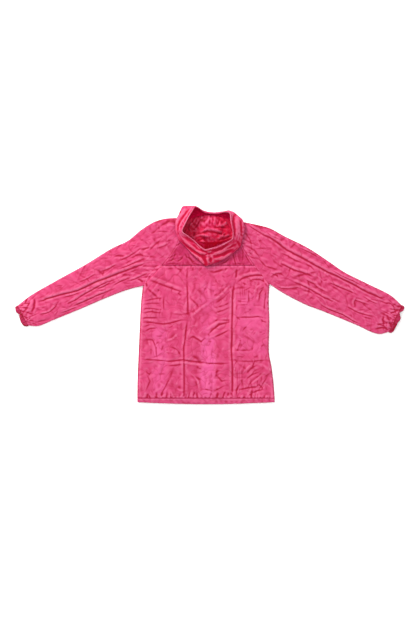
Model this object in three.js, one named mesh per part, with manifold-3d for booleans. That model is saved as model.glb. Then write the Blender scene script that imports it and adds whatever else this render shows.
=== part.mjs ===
// A child's hooded rain jacket, laid flat on its front with the back uppermost and the hood thrown back.
// Millimetres. X runs across the jacket, Y from the hem towards the neck, Z up from the surface it lies on.
// The two fronts lie on that surface, the back lies over them, and each sleeve is a flattened tube.
import * as THREE from "three";
import { mergeVertices } from "three/addons/utils/BufferGeometryUtils.js";
import Module from "manifold-3d";

// Cloth and seams
const CLOTH = 1.4;
const HEM_CLOTH = 1.9; // the cloth is doubled in a hem
const HOOD_CLOTH = 1.3;
const SEAM_GAP = 0.3;
const HALF_GAP = SEAM_GAP / 2;
const EDGE_RADIUS = 3; // the rounded fold where the upper layer turns into the lower one
const CENTRE = { x: 2, y: -2 }; // the middle of the whole jacket in plan

// Body, from the hem up
const HEM_Y = -283;
const HEM_DEPTH = 12;
const HEM_SAG = 6;
const YOKE_SEAM_Y = 116;
const YOKE_LAP = 8; // the yoke's lower edge lies this far over the back panel
const LAP_STEP = CLOTH + SEAM_GAP;

// The neck seam is an ellipse in plan. Its back half lies on top, its front half on the lower layer.
const NECK = { x: 0, y: 224, halfWidth: 87, halfDepth: 39 };

// Zip, down the middle of the front, closed up to a slider near the neck, with a flap of cloth behind it
const ZIP = { x: 3, halfSlit: 5.5, halfTape: 14, tape: 1, halfCoil: 2.8, coil: 1.5, parted: 231 };
const SLIDER = { y: 229, length: 9, halfWidth: 4.4, plate: 1.2, post: 1.8, lug: 1.2, pin: 0.6 };
const PULL = { length: 20, halfWidth: 3.6, neck: 1.5, thick: 1.3, barrel: 1.5, bore: 0.9, eyelet: 1.8 };
const FLAP = { halfWidth: 18, cloth: 1, overSlider: 1.8 };
const SLIDER_RISE = { y: 224.5, height: 5.8, reachX: 42, reachY: 37.5 }; // room for the pull under the front

// The garment's folded edges in plan, each from a few measured points, left and right as seen from above
const LEFT_SIDE = [[-215, -283], [-214, -222], [-211, -150], [-207, -60], [-203, 14], [-198, 54]];
const RIGHT_SIDE = [[197, -283], [192, -225], [186, -180], [180, -150], [181, -50], [179, 6], [181, 60]];
const LEFT_UNDERARM = [
  [-198, 54], [-237, 45], [-297, 23], [-384, -14], [-471, -50], [-512, -66], [-541, -65],
];
const RIGHT_UNDERARM = [
  [181, 60], [219, 35], [288, -1], [348, -24], [438, -61], [508, -90], [538, -84],
];
const LEFT_SHOULDER = [
  [-147, 252], [-195, 228], [-243, 190], [-291, 167], [-369, 119], [-456, 71], [-537, 24], [-573, -4],
];
const RIGHT_SHOULDER = [
  [126, 240], [180, 228], [225, 204], [297, 168], [354, 131], [405, 96], [477, 60], [546, 25], [577, -3],
];

// Each side's seams at the neck, as angles about its middle, and which way that side lies
const SIDES = {
  left: { sign: -1, foldAngle: 140, backAngle: 190, frontAngle: 120 },
  right: { sign: 1, foldAngle: 40, backAngle: -10, frontAngle: 60 },
};

// Packing creases and the largest fallen folds of the back: a line in plan, its height and half width
const BACK_FOLD_COLUMNS = ["x0", "y0", "x1", "y1", "height", "width"];
const BACK_FOLDS = [
  [-66, 104, -66, -282, 2.4, 7],
  [70, 104, 70, -282, 2.8, 7],
  [-206, -44, -66, -44, 1.8, 7],
  [70, -40, 172, -40, 2.0, 7],
  [-208, -170, 180, -170, 2.2, 7],
  [-180, 64, -66, 30, 3.2, 12],
  [170, 74, 70, 50, 2.8, 12],
  [2, -110, 70, -44, 3.2, 11],
];

// Long folds down the sleeves, by shares of the sleeve's length and of the way from underarm to shoulder
const SLEEVE_FOLD_COLUMNS = ["fromLength", "toLength", "fromShare", "toShare", "height"];
const SLEEVE_FOLD_WIDTH = 0.055;
const SLEEVE_FOLDS = {
  left: [[0.12, 0.9, 0.33, 0.6, 3.6], [0.2, 0.72, 0.15, 0.24, 2.8], [0.06, 0.5, 0.62, 0.72, 2.6]],
  right: [[0.04, 0.92, 0.72, 0.5, 4.2], [0.16, 0.7, 0.5, 0.28, 3.2], [0.45, 0.88, 0.16, 0.14, 2.8]],
};

// A little air in each sleeve, and gathers drawn in by the elastic of its cuff
const CUFF_LENGTH = 14;
const SLEEVE_PUFF = { body: 3, cuff: 6, start: 0.2 };
const GATHERS = { count: 10, height: 2.6, reach: 0.15 };

// Hood, a row per section about the neck's middle: the face opening's rim, the outer roll, and the
// height at which the cloth leaves the neck seam
const HOOD_COLUMNS = ["angle", "outerReach", "outerZ", "rimReach", "rimZ", "neckZ"];
const HOOD = [
  [-90, 107, 14.2, 60, 33, 7.9],
  [-78, 95, 12.4, 58, 32, 7.9],
  [-52, 90, 12.4, 61, 31, 7.9],
  [-30, 101, 12.6, 67, 32, 7.9],
  [-10, 107, 13.4, 73, 34, 7.9],
  [10, 108, 13.6, 70, 34, 7.9],
  [28, 98, 13, 71, 32, 7.9],
  [42, 86, 11.4, 75, 24, 7.4],
  [49, 76, 8.4, 67, 18, 5],
  [56, 63, 5.4, 56, 11, 2.6],
  [70, 53, 4.4, 48.6, 8.4, 1.3],
  [90, 51, 4.4, 46.6, 8.4, 1.3],
  [106, 57, 5, 52, 10.4, 1.3],
  [119, 81, 8, 74, 30, 1.9],
  [129, 93, 10, 70, 34, 4.6],
  [138, 102, 11.8, 67, 37, 7.4],
  [157, 101, 13, 67, 38, 7.9],
  [182, 99, 13.4, 76, 37, 7.9],
  [206, 87, 12.6, 55, 34, 7.9],
  [234, 85, 12.4, 51, 33, 7.9],
  [252, 96, 12.4, 57, 33, 7.9],
];
const HOOD_STATIONS = 48;
const HOOD_ROLL = 4.5;
const CASING = { cloth: 1, from: 0.84 }; // the hem round the face opening, by share of the section

const SHELL = new THREE.MeshStandardMaterial({ color: 0xe95786, roughness: 0.5, metalness: 0 });
const HOOD_SHELL = new THREE.MeshStandardMaterial({ color: 0xeb436f, roughness: 0.5, metalness: 0 });
const HEMS = new THREE.MeshStandardMaterial({ color: 0xee5f92, roughness: 0.5, metalness: 0 });
const ZIP_TAPE = new THREE.MeshStandardMaterial({ color: 0xf15a90, roughness: 0.8, metalness: 0 });
const LACQUER = new THREE.MeshStandardMaterial({ color: 0xd8457c, roughness: 0.35, metalness: 0.3 });

const degrees = (a) => (a * Math.PI) / 180;
const mix = (a, b, t) => a + (b - a) * t;
const smooth = (t) => {
  const s = Math.min(1, Math.max(0, t));
  return s * s * (3 - 2 * s);
};
const evenly = (count) => Array.from({ length: count + 1 }, (_, k) => k / count);
const between = (p, q, t) => ({ x: mix(p.x, q.x, t), y: mix(p.y, q.y, t) });
const distance = (p, q) => Math.hypot(p.x - q.x, p.y - q.y);
const named = (columns, row) => Object.fromEntries(columns.map((name, k) => [name, row[k]]));

// Lines in plan

function planCurve(points) {
  const corners = points.map(([x, y]) => new THREE.Vector3(x, y, 0));
  return new THREE.CatmullRomCurve3(corners, false, "centripetal");
}

// The points of a curve at these shares of its length
function along(curve, shares) {
  return shares.map((s) => {
    const p = curve.getPointAt(Math.min(1, Math.max(0, s)));
    return { x: p.x, y: p.y };
  });
}

// The share of a curve's length at which it reaches a height in plan
function shareAtY(curve, y) {
  let low = 0;
  let high = 1;
  for (let k = 0; k < 40; k++) {
    const middle = (low + high) / 2;
    if (curve.getPointAt(middle).y < y) low = middle;
    else high = middle;
  }
  return low;
}

function neckPoint(angle, grow = 0) {
  const a = degrees(angle);
  return {
    x: NECK.x + (NECK.halfWidth + grow) * Math.cos(a),
    y: NECK.y + (NECK.halfDepth + grow) * Math.sin(a),
  };
}

// How far the neck seam lies from the middle of the neck, seen at an angle
function neckReach(angle) {
  const a = degrees(angle);
  return 1 / Math.hypot(Math.cos(a) / NECK.halfWidth, Math.sin(a) / NECK.halfDepth);
}

function neckY(x, grow = 0) {
  return NECK.y + (NECK.halfDepth + grow) * Math.sqrt(1 - ((x - NECK.x) / NECK.halfWidth) ** 2);
}

function shoulderCurve(side, points) {
  const start = neckPoint(SIDES[side].foldAngle);
  return planCurve([[start.x, start.y], ...points]);
}

const EDGES = {
  left: {
    side: planCurve(LEFT_SIDE),
    underarm: planCurve(LEFT_UNDERARM),
    shoulder: shoulderCurve("left", LEFT_SHOULDER),
  },
  right: {
    side: planCurve(RIGHT_SIDE),
    underarm: planCurve(RIGHT_UNDERARM),
    shoulder: shoulderCurve("right", RIGHT_SHOULDER),
  },
};

// A folded edge as short straight runs, each with the way that leads out of the cloth
function edgeRuns(curve, outTurn) {
  const points = along(curve, evenly(90));
  return points.slice(1).map((b, k) => {
    const a = points[k];
    const length = distance(a, b);
    return { a, b, outX: (outTurn * (b.y - a.y)) / length, outY: (-outTurn * (b.x - a.x)) / length };
  });
}

const SIDE_RUNS = [...edgeRuns(EDGES.left.side, -1), ...edgeRuns(EDGES.right.side, 1)];
const SLEEVE_RUNS = [
  ...edgeRuns(EDGES.left.underarm, -1), ...edgeRuns(EDGES.right.underarm, 1),
  ...edgeRuns(EDGES.left.shoulder, 1), ...edgeRuns(EDGES.right.shoulder, -1),
];

// How far a plan point is from the nearest folded edge, and which way that edge lies
function nearestEdge(p, runs) {
  let best = { d: Infinity, gx: 0, gy: 0 };
  for (const { a, b, outX, outY } of runs) {
    const t = ((p.x - a.x) * (b.x - a.x) + (p.y - a.y) * (b.y - a.y)) / distance(a, b) ** 2;
    const q = between(a, b, Math.min(1, Math.max(0, t)));
    const d = distance(p, q);
    if (d < best.d - 1e-9) {
      const onEdge = d < 0.2;
      best = { d, gx: onEdge ? outX : (q.x - p.x) / d, gy: onEdge ? outY : (q.y - p.y) / d };
    }
  }
  return best;
}

// A point of the upper or lower layer: its outer face, and its inner face a cloth's thickness in
function layerPoint(p, { upper, runs, rise = 0, cloth = CLOTH, apart = 0 }) {
  const { d, gx, gy } = nearestEdge(p, runs);
  const lean = d < EDGE_RADIUS ? (EDGE_RADIUS - d) / EDGE_RADIUS : 0;
  const flat = Math.sqrt(1 - lean * lean);
  const way = upper ? 1 : -1;
  const middle = EDGE_RADIUS + rise + way * apart * (1 - flat);
  return {
    outer: new THREE.Vector3(p.x, p.y, middle + way * EDGE_RADIUS * flat),
    inner: new THREE.Vector3(
      p.x - gx * lean * cloth, p.y - gy * lean * cloth, middle + way * (EDGE_RADIUS - cloth) * flat,
    ),
  };
}

// Creases and fallen folds raise the back. They fade out at the edges and under the hood.
function backFold(p) {
  const inset = nearestEdge(p, SIDE_RUNS).d;
  let height = 0;
  for (const row of BACK_FOLDS) {
    const fold = named(BACK_FOLD_COLUMNS, row);
    const start = { x: fold.x0, y: fold.y0 };
    const end = { x: fold.x1, y: fold.y1 };
    const run = ((p.x - start.x) * (end.x - start.x) + (p.y - start.y) * (end.y - start.y))
      / distance(start, end) ** 2;
    const away = distance(p, between(start, end, Math.min(1, Math.max(0, run))));
    height = Math.max(height, fold.height * Math.exp(-((away / fold.width) ** 2)));
  }
  const fromNeck = distance(p, NECK);
  return height * smooth((inset - 2) / 12) * smooth((fromNeck - 108) / 20);
}

// The lower layer stands off a little where the slider and its pull tab lie under it
function sliderRise(p) {
  const away = Math.hypot((p.x - ZIP.x) / SLIDER_RISE.reachX, (p.y - SLIDER_RISE.y) / SLIDER_RISE.reachY);
  return SLIDER_RISE.height * (1 - smooth((away - 0.5) / 0.5));
}

// Closed walls from rows of points

// Each point has an outer and an inner face. The rows of a ring join end to end.
function clothWall(rows, ring = false) {
  const columns = rows[0].length;
  const last = rows.length - 1;
  const spans = ring ? columns : columns - 1;
  const positions = [];
  for (const row of rows) for (const p of row) positions.push(...p.outer.toArray());
  for (const row of rows) for (const p of row) positions.push(...p.inner.toArray());
  const outer = (j, i) => j * columns + (i % columns);
  const inner = (j, i) => rows.length * columns + outer(j, i);
  const index = [];
  const quad = (a, b, c, d) => index.push(a, b, c, a, c, d);
  for (let j = 0; j < last; j++) {
    for (let i = 0; i < spans; i++) {
      quad(outer(j, i), outer(j, i + 1), outer(j + 1, i + 1), outer(j + 1, i));
      quad(inner(j, i), inner(j + 1, i), inner(j + 1, i + 1), inner(j, i + 1));
    }
  }
  for (let i = 0; i < spans; i++) {
    quad(outer(0, i), inner(0, i), inner(0, i + 1), outer(0, i + 1));
    quad(outer(last, i), outer(last, i + 1), inner(last, i + 1), inner(last, i));
  }
  for (let j = 0; j < last && !ring; j++) {
    quad(outer(j, 0), outer(j + 1, 0), inner(j + 1, 0), inner(j, 0));
    quad(outer(j, spans), inner(j, spans), inner(j + 1, spans), outer(j + 1, spans));
  }
  return facingOut(positions, index);
}

function facingOut(positions, index) {
  const at = (k) => new THREE.Vector3().fromArray(positions, 3 * k);
  let volume = 0;
  for (let k = 0; k < index.length; k += 3) {
    volume += at(index[k]).dot(at(index[k + 1]).cross(at(index[k + 2])));
  }
  for (let k = 0; k < index.length && volume < 0; k += 3) {
    [index[k + 1], index[k + 2]] = [index[k + 2], index[k + 1]];
  }
  const geometry = new THREE.BufferGeometry();
  geometry.setAttribute("position", new THREE.Float32BufferAttribute(positions, 3));
  geometry.setIndex(index);
  return geometry;
}

// Seam lines that two pieces share

const BACK_STEPS = 16; // steps of a back raglan seam, from the underarm to the neck
const YOKE_STEP = 7; // the step at the yoke seam
const FRONT_STEPS = 17;
const LAYER_STEPS = 20; // steps across a sleeve, from the underarm to the shoulder
const TURN = [0, 1.1, 3.2]; // the first steps from a folded edge follow its rounding

// Points along a seam: close together round the underarm's fold, then even between the stops
function seamPoints(curve, stops) {
  const length = curve.getLength();
  const shares = TURN.map((d) => d / length);
  let [fromStep, fromShare] = [TURN.length - 1, shares[TURN.length - 1]];
  for (const [toStep, toShare] of stops) {
    for (let step = fromStep + 1; step <= toStep; step++) {
      shares.push(mix(fromShare, toShare, (step - fromStep) / (toStep - fromStep)));
    }
    [fromStep, fromShare] = [toStep, toShare];
  }
  return along(curve, shares);
}

function raglanSeams(which) {
  const { sign, backAngle, frontAngle } = SIDES[which];
  const [armpit] = along(EDGES[which].side, [1]);
  const backNeck = neckPoint(backAngle);
  const frontNeck = neckPoint(frontAngle);
  const back = planCurve([
    [armpit.x, armpit.y],
    [mix(armpit.x, backNeck.x, 0.5) + sign * 2, mix(armpit.y, backNeck.y, 0.36)],
    [backNeck.x + sign * 13, mix(armpit.y, backNeck.y, 0.74)],
    [backNeck.x, backNeck.y],
  ]);
  const front = planCurve([
    [armpit.x, armpit.y],
    [mix(armpit.x, frontNeck.x, 0.5) + sign * 6, mix(armpit.y, frontNeck.y, 0.42)],
    [frontNeck.x, frontNeck.y],
  ]);
  return {
    back: seamPoints(back, [[YOKE_STEP, shareAtY(back, YOKE_SEAM_Y)], [BACK_STEPS, 1]]),
    front: seamPoints(front, [[FRONT_STEPS, 1]]),
  };
}

const SEAMS = { left: raglanSeams("left"), right: raglanSeams("right") };

// A seam's points moved sideways, so that the pieces on its two sides stay apart
function beside(points, by) {
  return points.map((p, k) => {
    const a = points[Math.max(0, k - 1)];
    const b = points[Math.min(points.length - 1, k + 1)];
    const length = distance(a, b);
    return { x: p.x + (by * (b.y - a.y)) / length, y: p.y - (by * (b.x - a.x)) / length };
  });
}

const towardBody = (which) => -SIDES[which].sign * HALF_GAP * 1.3;

// Back

const BACK_ROWS = [HEM_Y, -228, -178, -170, -162, -108, -52, -44, -36, 8];
const FRONT_ROWS = 7;

// Places across the back: short steps round each folded edge and over each packing crease
function backColumns(left, right) {
  const [creaseLeft, creaseRight] = [BACK_FOLDS[0][0], BACK_FOLDS[1][0]];
  const fill = (from, to, count) => evenly(count).slice(1, -1).map((t) => mix(from, to, t));
  return [
    ...TURN.map((d) => left + d),
    ...fill(left + TURN[2], creaseLeft - 8, 3),
    creaseLeft - 8, creaseLeft, creaseLeft + 8,
    ...fill(creaseLeft + 8, creaseRight - 8, 3),
    creaseRight - 8, creaseRight, creaseRight + 8,
    ...fill(creaseRight + 8, right - TURN[2], 2),
    ...TURN.map((d) => right - d).reverse(),
  ];
}

// The back below the yoke. Its top edge passes under the yoke's.
function backPanel() {
  const edge = (which) => {
    const side = EDGES[which].side;
    const seam = beside(SEAMS[which].back.slice(1, YOKE_STEP + 1), towardBody(which));
    const [before, last] = seam.slice(-2);
    const lapped = between(before, last, 1 + YOKE_LAP / distance(before, last));
    return [...along(side, [...BACK_ROWS.map((y) => shareAtY(side, y)), 1]), ...seam, lapped];
  };
  const left = edge("left");
  const right = edge("right");
  return clothWall(left.map((from, j) => {
    const to = right[j];
    return backColumns(from.x, to.x).map((x) => {
      const p = { x, y: mix(from.y, to.y, (x - from.x) / (to.x - from.x)) };
      return layerPoint(p, { upper: true, runs: SIDE_RUNS, rise: backFold(p), apart: HALF_GAP });
    });
  }));
}

// The yoke, from its edge, which steps up over the back panel, to the back of the neck
function yoke() {
  const left = beside(SEAMS.left.back.slice(YOKE_STEP), towardBody("left"));
  const right = beside(SEAMS.right.back.slice(YOKE_STEP), towardBody("right"));
  const neck = (u) => neckPoint(mix(SIDES.left.backAngle, 360 + SIDES.right.backAngle, u), HALF_GAP);
  const last = left.length - 1;
  return clothWall(left.map((from, j) => evenly(12).map((u) => {
    const straight = between(from, right[j], u);
    const chord = between(neck(0), neck(1), u);
    const share = (j / last) ** 1.5;
    const p = { x: straight.x + (neck(u).x - chord.x) * share, y: straight.y + (neck(u).y - chord.y) * share };
    const step = LAP_STEP * (1 - smooth((p.y - YOKE_SEAM_Y - YOKE_LAP - 1) / 8));
    return layerPoint(p, { upper: true, runs: SIDE_RUNS, rise: step });
  })));
}

// Front

// Heights up the zip at which both fronts, the tape and the flap have a row of points
const ARMPIT_Y = 57;
const ZIP_ROWS = [
  ...evenly(FRONT_ROWS).map((t) => mix(HEM_Y, ARMPIT_Y, t)),
  ...evenly(FRONT_STEPS).slice(1).map((t) => mix(ARMPIT_Y, neckY(ZIP.x, -HALF_GAP), t)),
];
const BESIDE_ZIP = [ZIP.halfSlit, ZIP.halfTape, FLAP.halfWidth + 2];

// One front, from its side seam to the zip, lying on the surface
function frontPanel(which) {
  const { sign } = SIDES[which];
  const seam = beside(SEAMS[which].front.slice(1), towardBody(which));
  const outline = [...along(EDGES[which].side, evenly(FRONT_ROWS)), ...seam];
  const shares = [...TURN.map((d) => d / 190), 0.3, 0.65];
  return clothWall(outline.map((from, j) => {
    const nearZip = BESIDE_ZIP.map((dx) => {
      const x = ZIP.x + sign * dx;
      return { x, y: Math.min(ZIP_ROWS[j], neckY(x, -HALF_GAP)) };
    }).reverse();
    const places = [...shares.map((u) => between(from, nearZip[0], u)), ...nearZip];
    if (which === "right") places.reverse();
    return places.map((p) => (
      layerPoint(p, { upper: false, runs: SIDE_RUNS, rise: sliderRise(p), apart: HALF_GAP })
    ));
  }));
}

// The hem: cloth turned up and stitched, below the stitch line
function hem(fromX, toX, upper) {
  const [left] = along(EDGES.left.side, [0]);
  const [right] = along(EDGES.right.side, [0]);
  const places = backColumns(left.x, right.x).filter((x) => x > fromX && x < toX);
  const columns = [...new Set([fromX, ...places, toX])];
  return clothWall([SEAM_GAP, HEM_DEPTH / 2, HEM_DEPTH].map((drop) => columns.map((x) => {
    const sag = HEM_SAG * Math.sin((Math.PI * (x - left.x)) / (right.x - left.x)) * (drop / HEM_DEPTH);
    const p = layerPoint({ x, y: HEM_Y + 1 }, { upper, runs: SIDE_RUNS, cloth: HEM_CLOTH, apart: HALF_GAP });
    p.outer.y = HEM_Y - drop - sag;
    p.inner.y = p.outer.y;
    return p;
  })));
}

// Zip: two tapes joined by the coil, parted above the slider

const { Manifold, Mesh } = await Module().then((wasm) => {
  wasm.setup();
  return wasm;
});

function solid(geometry) {
  const bare = new THREE.BufferGeometry();
  bare.setAttribute("position", geometry.getAttribute("position"));
  bare.setIndex(geometry.index);
  const merged = mergeVertices(bare, 1e-4);
  return new Manifold(new Mesh({
    numProp: 3,
    vertProperties: merged.attributes.position.array,
    triVerts: new Uint32Array(merged.index.array),
  }));
}

function geometryOf(body) {
  const mesh = body.getMesh();
  const geometry = new THREE.BufferGeometry();
  geometry.setAttribute("position", new THREE.BufferAttribute(mesh.vertProperties, 3));
  geometry.setIndex(new THREE.BufferAttribute(mesh.triVerts, 1));
  return geometry;
}

function block(fromX, toX, fromY, toY, fromZ, toZ) {
  return new THREE.BoxGeometry(toX - fromX, toY - fromY, toZ - fromZ)
    .translate((fromX + toX) / 2, (fromY + toY) / 2, (fromZ + toZ) / 2);
}

function rodAlongX(radius, halfLength, y, z) {
  return new THREE.CylinderGeometry(radius, radius, 2 * halfLength, 20)
    .rotateZ(Math.PI / 2).translate(ZIP.x, y, z);
}

const TAPE_Z = CLOTH + SEAM_GAP;
const TAPE_TOP = TAPE_Z + ZIP.tape;
const FLAP_Z = TAPE_TOP + SEAM_GAP;

// A flat strip along the zip, following the rise of the fronts
function strip(offsets, fromY, toY, fromZ, toZ, lift = () => 0) {
  const rows = [fromY, ...ZIP_ROWS.filter((y) => y > fromY + 1 && y < toY - 1), toY];
  return clothWall(rows.map((y) => offsets.map((dx) => {
    const p = { x: ZIP.x + dx, y };
    const z = sliderRise(p) + lift(p);
    return {
      outer: new THREE.Vector3(p.x, p.y, fromZ + z),
      inner: new THREE.Vector3(p.x, p.y, toZ + z),
    };
  })));
}

function zip() {
  const bottom = HEM_Y + SEAM_GAP;
  const top = ZIP_ROWS[ZIP_ROWS.length - 2];
  const tape = strip([-ZIP.halfTape, -ZIP.halfSlit, ZIP.halfSlit, ZIP.halfTape], bottom, top, TAPE_Z, TAPE_TOP);
  const coil = strip([-ZIP.halfCoil, ZIP.halfCoil], bottom, ZIP.parted, TAPE_Z - ZIP.coil, TAPE_Z + 0.3);
  const slot = block(ZIP.x - 1.2, ZIP.x + 1.2, ZIP.parted, top + 5, -1, 20);
  return geometryOf(solid(tape).add(solid(coil)).subtract(solid(slot)));
}

// The flap of cloth behind the zip. It passes over the slider.
function windFlap() {
  const overSlider = (p) => (
    FLAP.overSlider * (1 - smooth((Math.hypot(p.x - ZIP.x, p.y - SLIDER.y) / 24 - 0.45) / 0.55))
  );
  const half = [FLAP.halfWidth, ZIP.halfTape, ZIP.halfSlit];
  const offsets = [...half.map((dx) => -dx), ...half.reverse()];
  const top = neckY(ZIP.x + FLAP.halfWidth, -SEAM_GAP);
  return strip(offsets, HEM_Y + SEAM_GAP, top, FLAP_Z, FLAP_Z + FLAP.cloth, overSlider);
}

// The slider: a plate on each face of the zip, a post between them, and a pin across two lugs
const UPPER_PLATE_Z = SLIDER_RISE.height + TAPE_TOP + SEAM_GAP;
const LOWER_PLATE_Z = SLIDER_RISE.height + TAPE_Z - ZIP.coil - SEAM_GAP - SLIDER.plate;
const PIN = { y: SLIDER.y - 1, z: LOWER_PLATE_Z - SEAM_GAP - PULL.barrel, halfSpan: 3.4 };

function slider() {
  const from = SLIDER.y - SLIDER.length / 2;
  const to = SLIDER.y + SLIDER.length / 2;
  const plate = (z) => block(ZIP.x - SLIDER.halfWidth, ZIP.x + SLIDER.halfWidth, from, to, z, z + SLIDER.plate);
  const post = block(
    ZIP.x - SLIDER.post / 2, ZIP.x + SLIDER.post / 2, ZIP.parted + SEAM_GAP, to,
    LOWER_PLATE_Z + 0.2, UPPER_PLATE_Z + 0.2,
  );
  const lug = (way) => {
    const x = ZIP.x + way * (PIN.halfSpan - SLIDER.lug / 2);
    return block(
      x - SLIDER.lug / 2, x + SLIDER.lug / 2, PIN.y - 1.5, PIN.y + 1.5, PIN.z - 1, LOWER_PLATE_Z + 0.2,
    );
  };
  const pin = rodAlongX(SLIDER.pin, PIN.halfSpan - 0.3, PIN.y, PIN.z);
  return geometryOf([plate(UPPER_PLATE_Z), plate(LOWER_PLATE_Z), post, lug(-1), lug(1), pin]
    .map(solid).reduce((body, piece) => body.add(piece)));
}

// The pull tab turns on the pin. It hangs towards the hem, flat against the zip.
function pullTab() {
  const { halfWidth: w, neck, length, thick } = PULL;
  const outline = new THREE.Shape([
    [neck, 0], [neck, -2.6], [w, -4.6], [w, 1.6 - length], [w - 1.6, -length],
    [1.6 - w, -length], [-w, 1.6 - length], [-w, -4.6], [-neck, -2.6], [-neck, 0],
  ].map(([x, y]) => new THREE.Vector2(x, y)));
  outline.holes.push(new THREE.Path().absarc(0, 4.4 - length, PULL.eyelet, 0, 2 * Math.PI));
  const plate = new THREE.ExtrudeGeometry(outline, { depth: thick, bevelEnabled: false, curveSegments: 12 })
    .translate(ZIP.x, PIN.y, PIN.z - thick / 2);
  const barrel = rodAlongX(PULL.barrel, PIN.halfSpan - SLIDER.lug - 0.4, PIN.y, PIN.z);
  const bore = rodAlongX(PULL.bore, 9, PIN.y, PIN.z);
  return geometryOf(solid(plate).add(solid(barrel)).subtract(solid(bore)));
}

// Sleeves

const SLEEVE_STATIONS = [0, 0.04, 0.11, 0.2, 0.31, 0.43, 0.55, 0.67, 0.78, 0.87, 0.94, 1];

// Where a sleeve starts: the raglan seams, and the short runs of neck seam between them and the shoulder
function sleeveHead(which) {
  const { backAngle, frontAngle, foldAngle } = SIDES[which];
  const [armpit] = along(EDGES[which].side, [1]);
  const shoulder = neckPoint(foldAngle);
  const half = (seam, angle, grow) => {
    const points = beside(seam, -towardBody(which));
    const steps = LAYER_STEPS + 1 - points.length;
    for (let k = 1; k <= steps; k++) points.push(neckPoint(mix(angle, foldAngle, k / steps), grow));
    points[0] = armpit;
    points[LAYER_STEPS] = shoulder;
    return points;
  };
  return {
    upper: half(SEAMS[which].back, backAngle, HALF_GAP),
    lower: half(SEAMS[which].front, frontAngle, -HALF_GAP),
  };
}

function sleeveFold(which, v, share) {
  let height = 0;
  for (const row of SLEEVE_FOLDS[which]) {
    const fold = named(SLEEVE_FOLD_COLUMNS, row);
    const run = (v - fold.fromLength) / (fold.toLength - fold.fromLength);
    const middle = mix(fold.fromShare, fold.toShare, run);
    const fade = smooth((run + 0.1) / 0.25) * smooth((1.1 - run) / 0.25);
    height = Math.max(height, fold.height * fade * Math.exp(-(((share - middle) / SLEEVE_FOLD_WIDTH) ** 2)));
  }
  return height;
}

// One ring round the sleeve at a share of its length: up the upper layer, back down the lower one
function sleeveRing(which, v) {
  const head = sleeveHead(which);
  const [low] = along(EDGES[which].underarm, [v]);
  const [high] = along(EDGES[which].shoulder, [v]);
  const turn = TURN.map((d) => d / distance(low, high));
  const middle = evenly(LAYER_STEPS - 4).slice(1, -1).map((t) => mix(turn[2], 1 - turn[2], t));
  const shares = [...turn, ...middle, ...turn.map((s) => 1 - s).reverse()];
  const headPull = (1 - smooth(v / 0.5)) * (1 - v);
  const toCuff = smooth((v - 1 + GATHERS.reach) / GATHERS.reach);
  const puff = mix(SLEEVE_PUFF.body * smooth(v / SLEEVE_PUFF.start), SLEEVE_PUFF.cuff, toCuff);
  const point = (upper, i) => {
    const line = upper ? head.upper : head.lower;
    const straight = between(low, high, shares[i]);
    const chord = between(line[0], line[LAYER_STEPS], shares[i]);
    const p = {
      x: straight.x + (line[i].x - chord.x) * headPull,
      y: straight.y + (line[i].y - chord.y) * headPull,
    };
    const crown = Math.sin(Math.PI * shares[i]) ** 0.8;
    const wave = GATHERS.height * toCuff * (1 + Math.cos((Math.PI * GATHERS.count * i) / LAYER_STEPS)) / 2;
    const over = upper ? puff + sleeveFold(which, v, shares[i]) : 0;
    return layerPoint(p, { upper, runs: SLEEVE_RUNS, rise: (over + wave) * crown });
  };
  const across = Array.from({ length: LAYER_STEPS + 1 }, (_, i) => i);
  return [
    ...across.map((i) => point(true, i)),
    ...across.slice(1, -1).reverse().map((i) => point(false, i)),
  ];
}

function sleeve(which) {
  return clothWall(SLEEVE_STATIONS.map((v) => sleeveRing(which, v)), true);
}

// The cuff: a casing for the elastic, beyond the sleeve's last gathers
function cuff(which) {
  const end = sleeveRing(which, 1);
  const low = end[0].outer;
  const high = end[LAYER_STEPS].outer;
  const { sign } = SIDES[which];
  const out = new THREE.Vector3(sign * (high.y - low.y), sign * (low.x - high.x), 0).normalize();
  const moved = (q, reach, lift) => q.clone().addScaledVector(out, reach).setZ(q.z + lift);
  return clothWall([SEAM_GAP, CUFF_LENGTH / 2, CUFF_LENGTH].map((reach, j) => end.map((p) => {
    const swell = j === 1 && p.outer.z > 2 * EDGE_RADIUS ? 0.6 : 0;
    return { outer: moved(p.outer, reach, swell), inner: moved(p.inner, reach, 0) };
  })), true);
}

// Hood

const HOOD_STEPS = [0, 0.14, 0.28, 0.4, 0.48, 0.55, 0.62, 0.7, 0.78, 0.84, 0.92, 1];

function hoodSizes(angle) {
  const turn = ((((angle - HOOD[0][0]) % 360) + 360) % 360) + HOOD[0][0];
  const count = HOOD.length;
  const row = (n) => HOOD[(n + count) % count];
  const angleOf = (n) => row(n)[0] + (n >= count ? 360 : 0);
  const k = HOOD.findIndex((_, n) => turn >= angleOf(n) && turn < angleOf(n + 1));
  const t = (turn - angleOf(k)) / (angleOf(k + 1) - angleOf(k));
  const value = (c) => {
    const [a, b, d, e] = [row(k - 1)[c], row(k)[c], row(k + 1)[c], row(k + 2)[c]];
    const square = (2 * a - 5 * b + 4 * d - e) * t ** 2;
    const cube = (3 * b - a - 3 * d + e) * t ** 3;
    const bent = 0.5 * (2 * b + (d - a) * t + square + cube);
    return Math.min(Math.max(bent, Math.min(b, d)), Math.max(b, d));
  };
  return named(HOOD_COLUMNS, [turn, ...HOOD_COLUMNS.slice(1).map((_, c) => value(c + 1))]);
}

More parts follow.
